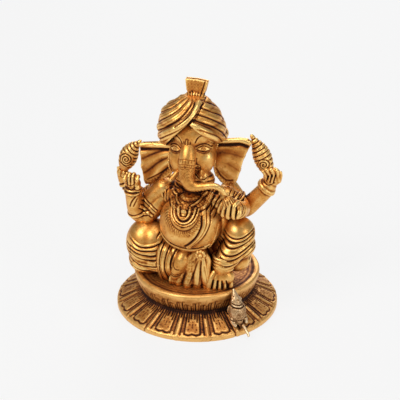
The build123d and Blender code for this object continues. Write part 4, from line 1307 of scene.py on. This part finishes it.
# ------------------------------------------------------------------ mouse
def mouse():
    """The mouse, its back outwards: bright snout, creased neck, punched saddle cloth, bent tail."""
    at = drawn_round("mouse", 46.65, -41.67, 20.15)
    bearing = radians(-42)
    home_x, home_y = 43.25, -38.94

    def spot(out, across, z, r):
        x = home_x + out * cos(bearing) - across * sin(bearing)
        y = home_y + out * sin(bearing) + across * cos(bearing)
        return (x, y, z, r)

    clay = Clay(at)
    clay.tube([spot(0.6, 0, 14.4, 5.4), spot(0.6, 0, 17.5, 6.9), spot(0.2, 0, 21.0, 6.6),
        spot(-0.6, 0, 24.2, 5.2), spot(-1.0, 0, 25.6, 4.3)])
    clay.tube([spot(-1.2, 0, 26.2, 4.5), spot(-2.0, 0, 28.4, 3.9), spot(-3.2, 0, 31.6, 2.7),
        spot(-4.4, 0, 34.6, 1.5), spot(-5.0, 0, 36.4, 0.8)])
    clay.tube([spot(2.0, 0, 13.2, 4.4), spot(3.6, 0, 11.0, 3.0), spot(4.8, 0.6, 8.6, 2.0)])
    clay.tube([spot(4.6, 1.6, 8.6, 1.7), spot(8.0, 1.4, 7.6, 1.5), spot(12.0, 0.8, 6.4, 1.3),
        spot(16.6, 0.2, 4.6, 1.1), spot(17.6, -0.6, 4.2, 0.8)])
    for side in (-1, 1):
        clay.tube([spot(2.0, side * 4.6, 13.4, 3.0), spot(3.4, side * 5.6, 11.4, 2.2),
            spot(5.6, side * 5.2, 9.8, 1.5)])
        clay.tube([spot(-2.5, side * 5.2, 22.6, 1.4), spot(-3.0, side * 5.9, 20.4, 1.3),
            spot(-3.4, side * 5.6, 18.4, 1.2)])
        clay.ball(spot(-0.9, side * 3.4, 28.4, 0)[:3], (1.5, 1.5, 1.8), detail=3)
    skin = clay.skin("mouse", 0.26, 2)
    x, y, z = skin.points.T
    lean = z + 0.14 * ((x - home_x) * cos(bearing) + (y - home_y) * sin(bearing))
    for level in (26.9, 25.2):
        skin.cut(np.exp(-(((lean - level) / 0.35) ** 2)), 0.55, 1.0)
    cloth = (lean > 14.5) & (lean < 24.4)
    outwards = ((x - home_x) * cos(bearing) + (y - home_y) * sin(bearing)) > -3.0
    skin.stipple(cloth * outwards, 1.35, 0.3, dark=0.45)
    skin.add(cloth * outwards * 0.35)
    skin.cut(np.exp(-(((lean - 14.2) / 0.4) ** 2)), 0.5, 1.0)
    skin.cut(outwards * np.exp(-(((lean - 24.8) / 0.35) ** 2)), 0.3, 0.8)
    # painted shade: the mouse's underside, below its saddle cloth, is darkened without a cut
    skin.cut(ease(-(lean - 11.6), -0.6, 0.6) * (z > 5) * (np.hypot(x - home_x, y - home_y) < 7), 0.0, 0.8)
    skin.dimple(spot(-4.9, 0, 36.9, 0)[:3], 0.5, 0.3, 0.8)
    for side in (-1, 1):
        skin.dimple(spot(-1.4, side * 2.4, 32.0, 0)[:3], 0.55, 0.35, 1.0)
    clear_flange(skin, home_x, home_y)
    skin.antique(0.8)
    return finish_piece(skin.object, mouse_brass, "mouse", "pale_brass", "mouse")


def clear_flange(skin, home_x, home_y):
    """Keeps the mouse's underside just off the flange's pad and petals."""
    x, y, z = skin.points.T
    r = np.hypot(x, y)
    on_pad = np.hypot(x - home_x, y - home_y) < 5.4
    ground = np.where(on_pad, 11.6, np.maximum(13.9 - 0.5 * (r - 47.0), 4.6))
    skin.points[:, 2] = np.maximum(z, np.where(r < 66.4, ground, 2.6))
    skin.write()


def fasteners():
    """Turned brass for the mouse's stud, washer and nut, and plain steel for the two screws."""
    brass = [(0.1, (0.86, 0.62, 0.26)), (0.5, (0.62, 0.40, 0.15)), (1.0, (0.12, 0.07, 0.03))]
    grey = [(0.1, (0.62, 0.62, 0.63)), (0.5, (0.42, 0.42, 0.43)), (1.0, (0.08, 0.08, 0.08))]
    turned = metal("turned_brass", brass, (0.30, 0.5), bump=0.05)
    steel = metal("screw_steel", grey, (0.32, 0.5), bump=0.05)
    for names, material in (
        (("mouse_stud", "mouse_washer", "mouse_nut"), turned),
        (("figure_screws", "figure_washers"), steel),
    ):
        for name in names:
            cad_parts[name].data.materials.clear()
            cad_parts[name].data.materials.append(material)


# ------------------------------------------------------------------ the pieces
base_plinth()
hips()
rosette()
right_leg()
left_leg()
torso()
head()
trunk()
tusks()
ears()
turban()
crest()
right_front_arm()
left_front_arm()
sweet()
right_rear_arm()
left_rear_arm()
conches()
mouse()
fasteners()


# ------------------------------------------------------------------ light, floor and camera
def soft_light(name, place, size, power, colour=(1, 1, 1)):
    """A large square light aimed at the middle of the object."""
    lamp = bpy.data.lights.new(name, "AREA")
    lamp.shape = "SQUARE"
    lamp.size = size
    lamp.energy = power
    lamp.color = colour
    made = bpy.data.objects.new(name, lamp)
    bpy.context.scene.collection.objects.link(made)
    low, high = cad_box
    made.location = place
    made.rotation_euler = ((low + high) / 2 - Vector(place)).to_track_quat("-Z", "Y").to_euler()


def studio():
    """A plain pale floor under soft light from above, in front and both sides."""
    ground = bmesh.new()
    bmesh.ops.create_grid(ground, x_segments=1, y_segments=1, size=6.0)
    floor = object_from(ground, "floor")
    pale = bpy.data.materials.new("pale_floor")
    pale.use_nodes = True
    shader = pale.node_tree.nodes["Principled BSDF"]
    shader.inputs["Base Color"].default_value = (0.08, 0.08, 0.08, 1)
    shader.inputs["Roughness"].default_value = 0.9
    shader.inputs["Emission Color"].default_value = (1, 1, 1, 1)
    shader.inputs["Emission Strength"].default_value = 0.812
    floor.data.materials.append(pale)
    world = bpy.data.worlds.new("studio")
    bpy.context.scene.world = world
    world.use_nodes = True
    world.node_tree.nodes["Background"].inputs["Color"].default_value = (0.80, 0.82, 0.86, 1)
    world.node_tree.nodes["Background"].inputs["Strength"].default_value = 0.30
    soft_light("key", (-0.55, -0.75, 0.95), 0.5, 8.0, (1.0, 0.97, 0.92))
    soft_light("top", (0.10, -0.10, 1.20), 0.7, 5.0)
    soft_light("side", (0.95, -0.45, 0.45), 0.4, 2.5)
    soft_light("back", (-0.15, 1.3, 0.8), 0.9, 7.0)


def camera():
    """The viewing angle: a little to the figure's left and above, with a long lens."""
    azimuth, elevation, distance = radians(15), radians(27.2), 1.3754
    aim = Vector((0, 0, 0.0934))
    back = Vector((sin(azimuth) * cos(elevation), -cos(azimuth) * cos(elevation), sin(elevation)))
    data = bpy.data.cameras.new("camera")
    data.sensor_width = 36
    data.lens = 153.657
    data.shift_x = 0.007
    made = bpy.data.objects.new("camera", data)
    bpy.context.scene.collection.objects.link(made)
    made.location = aim + back * distance
    made.rotation_euler = (-back).to_track_quat("-Z", "Y").to_euler()
    bpy.context.scene.camera = made


studio()
camera()
bpy.context.scene.view_settings.view_transform = "Standard"

paint_occlusion_shade()
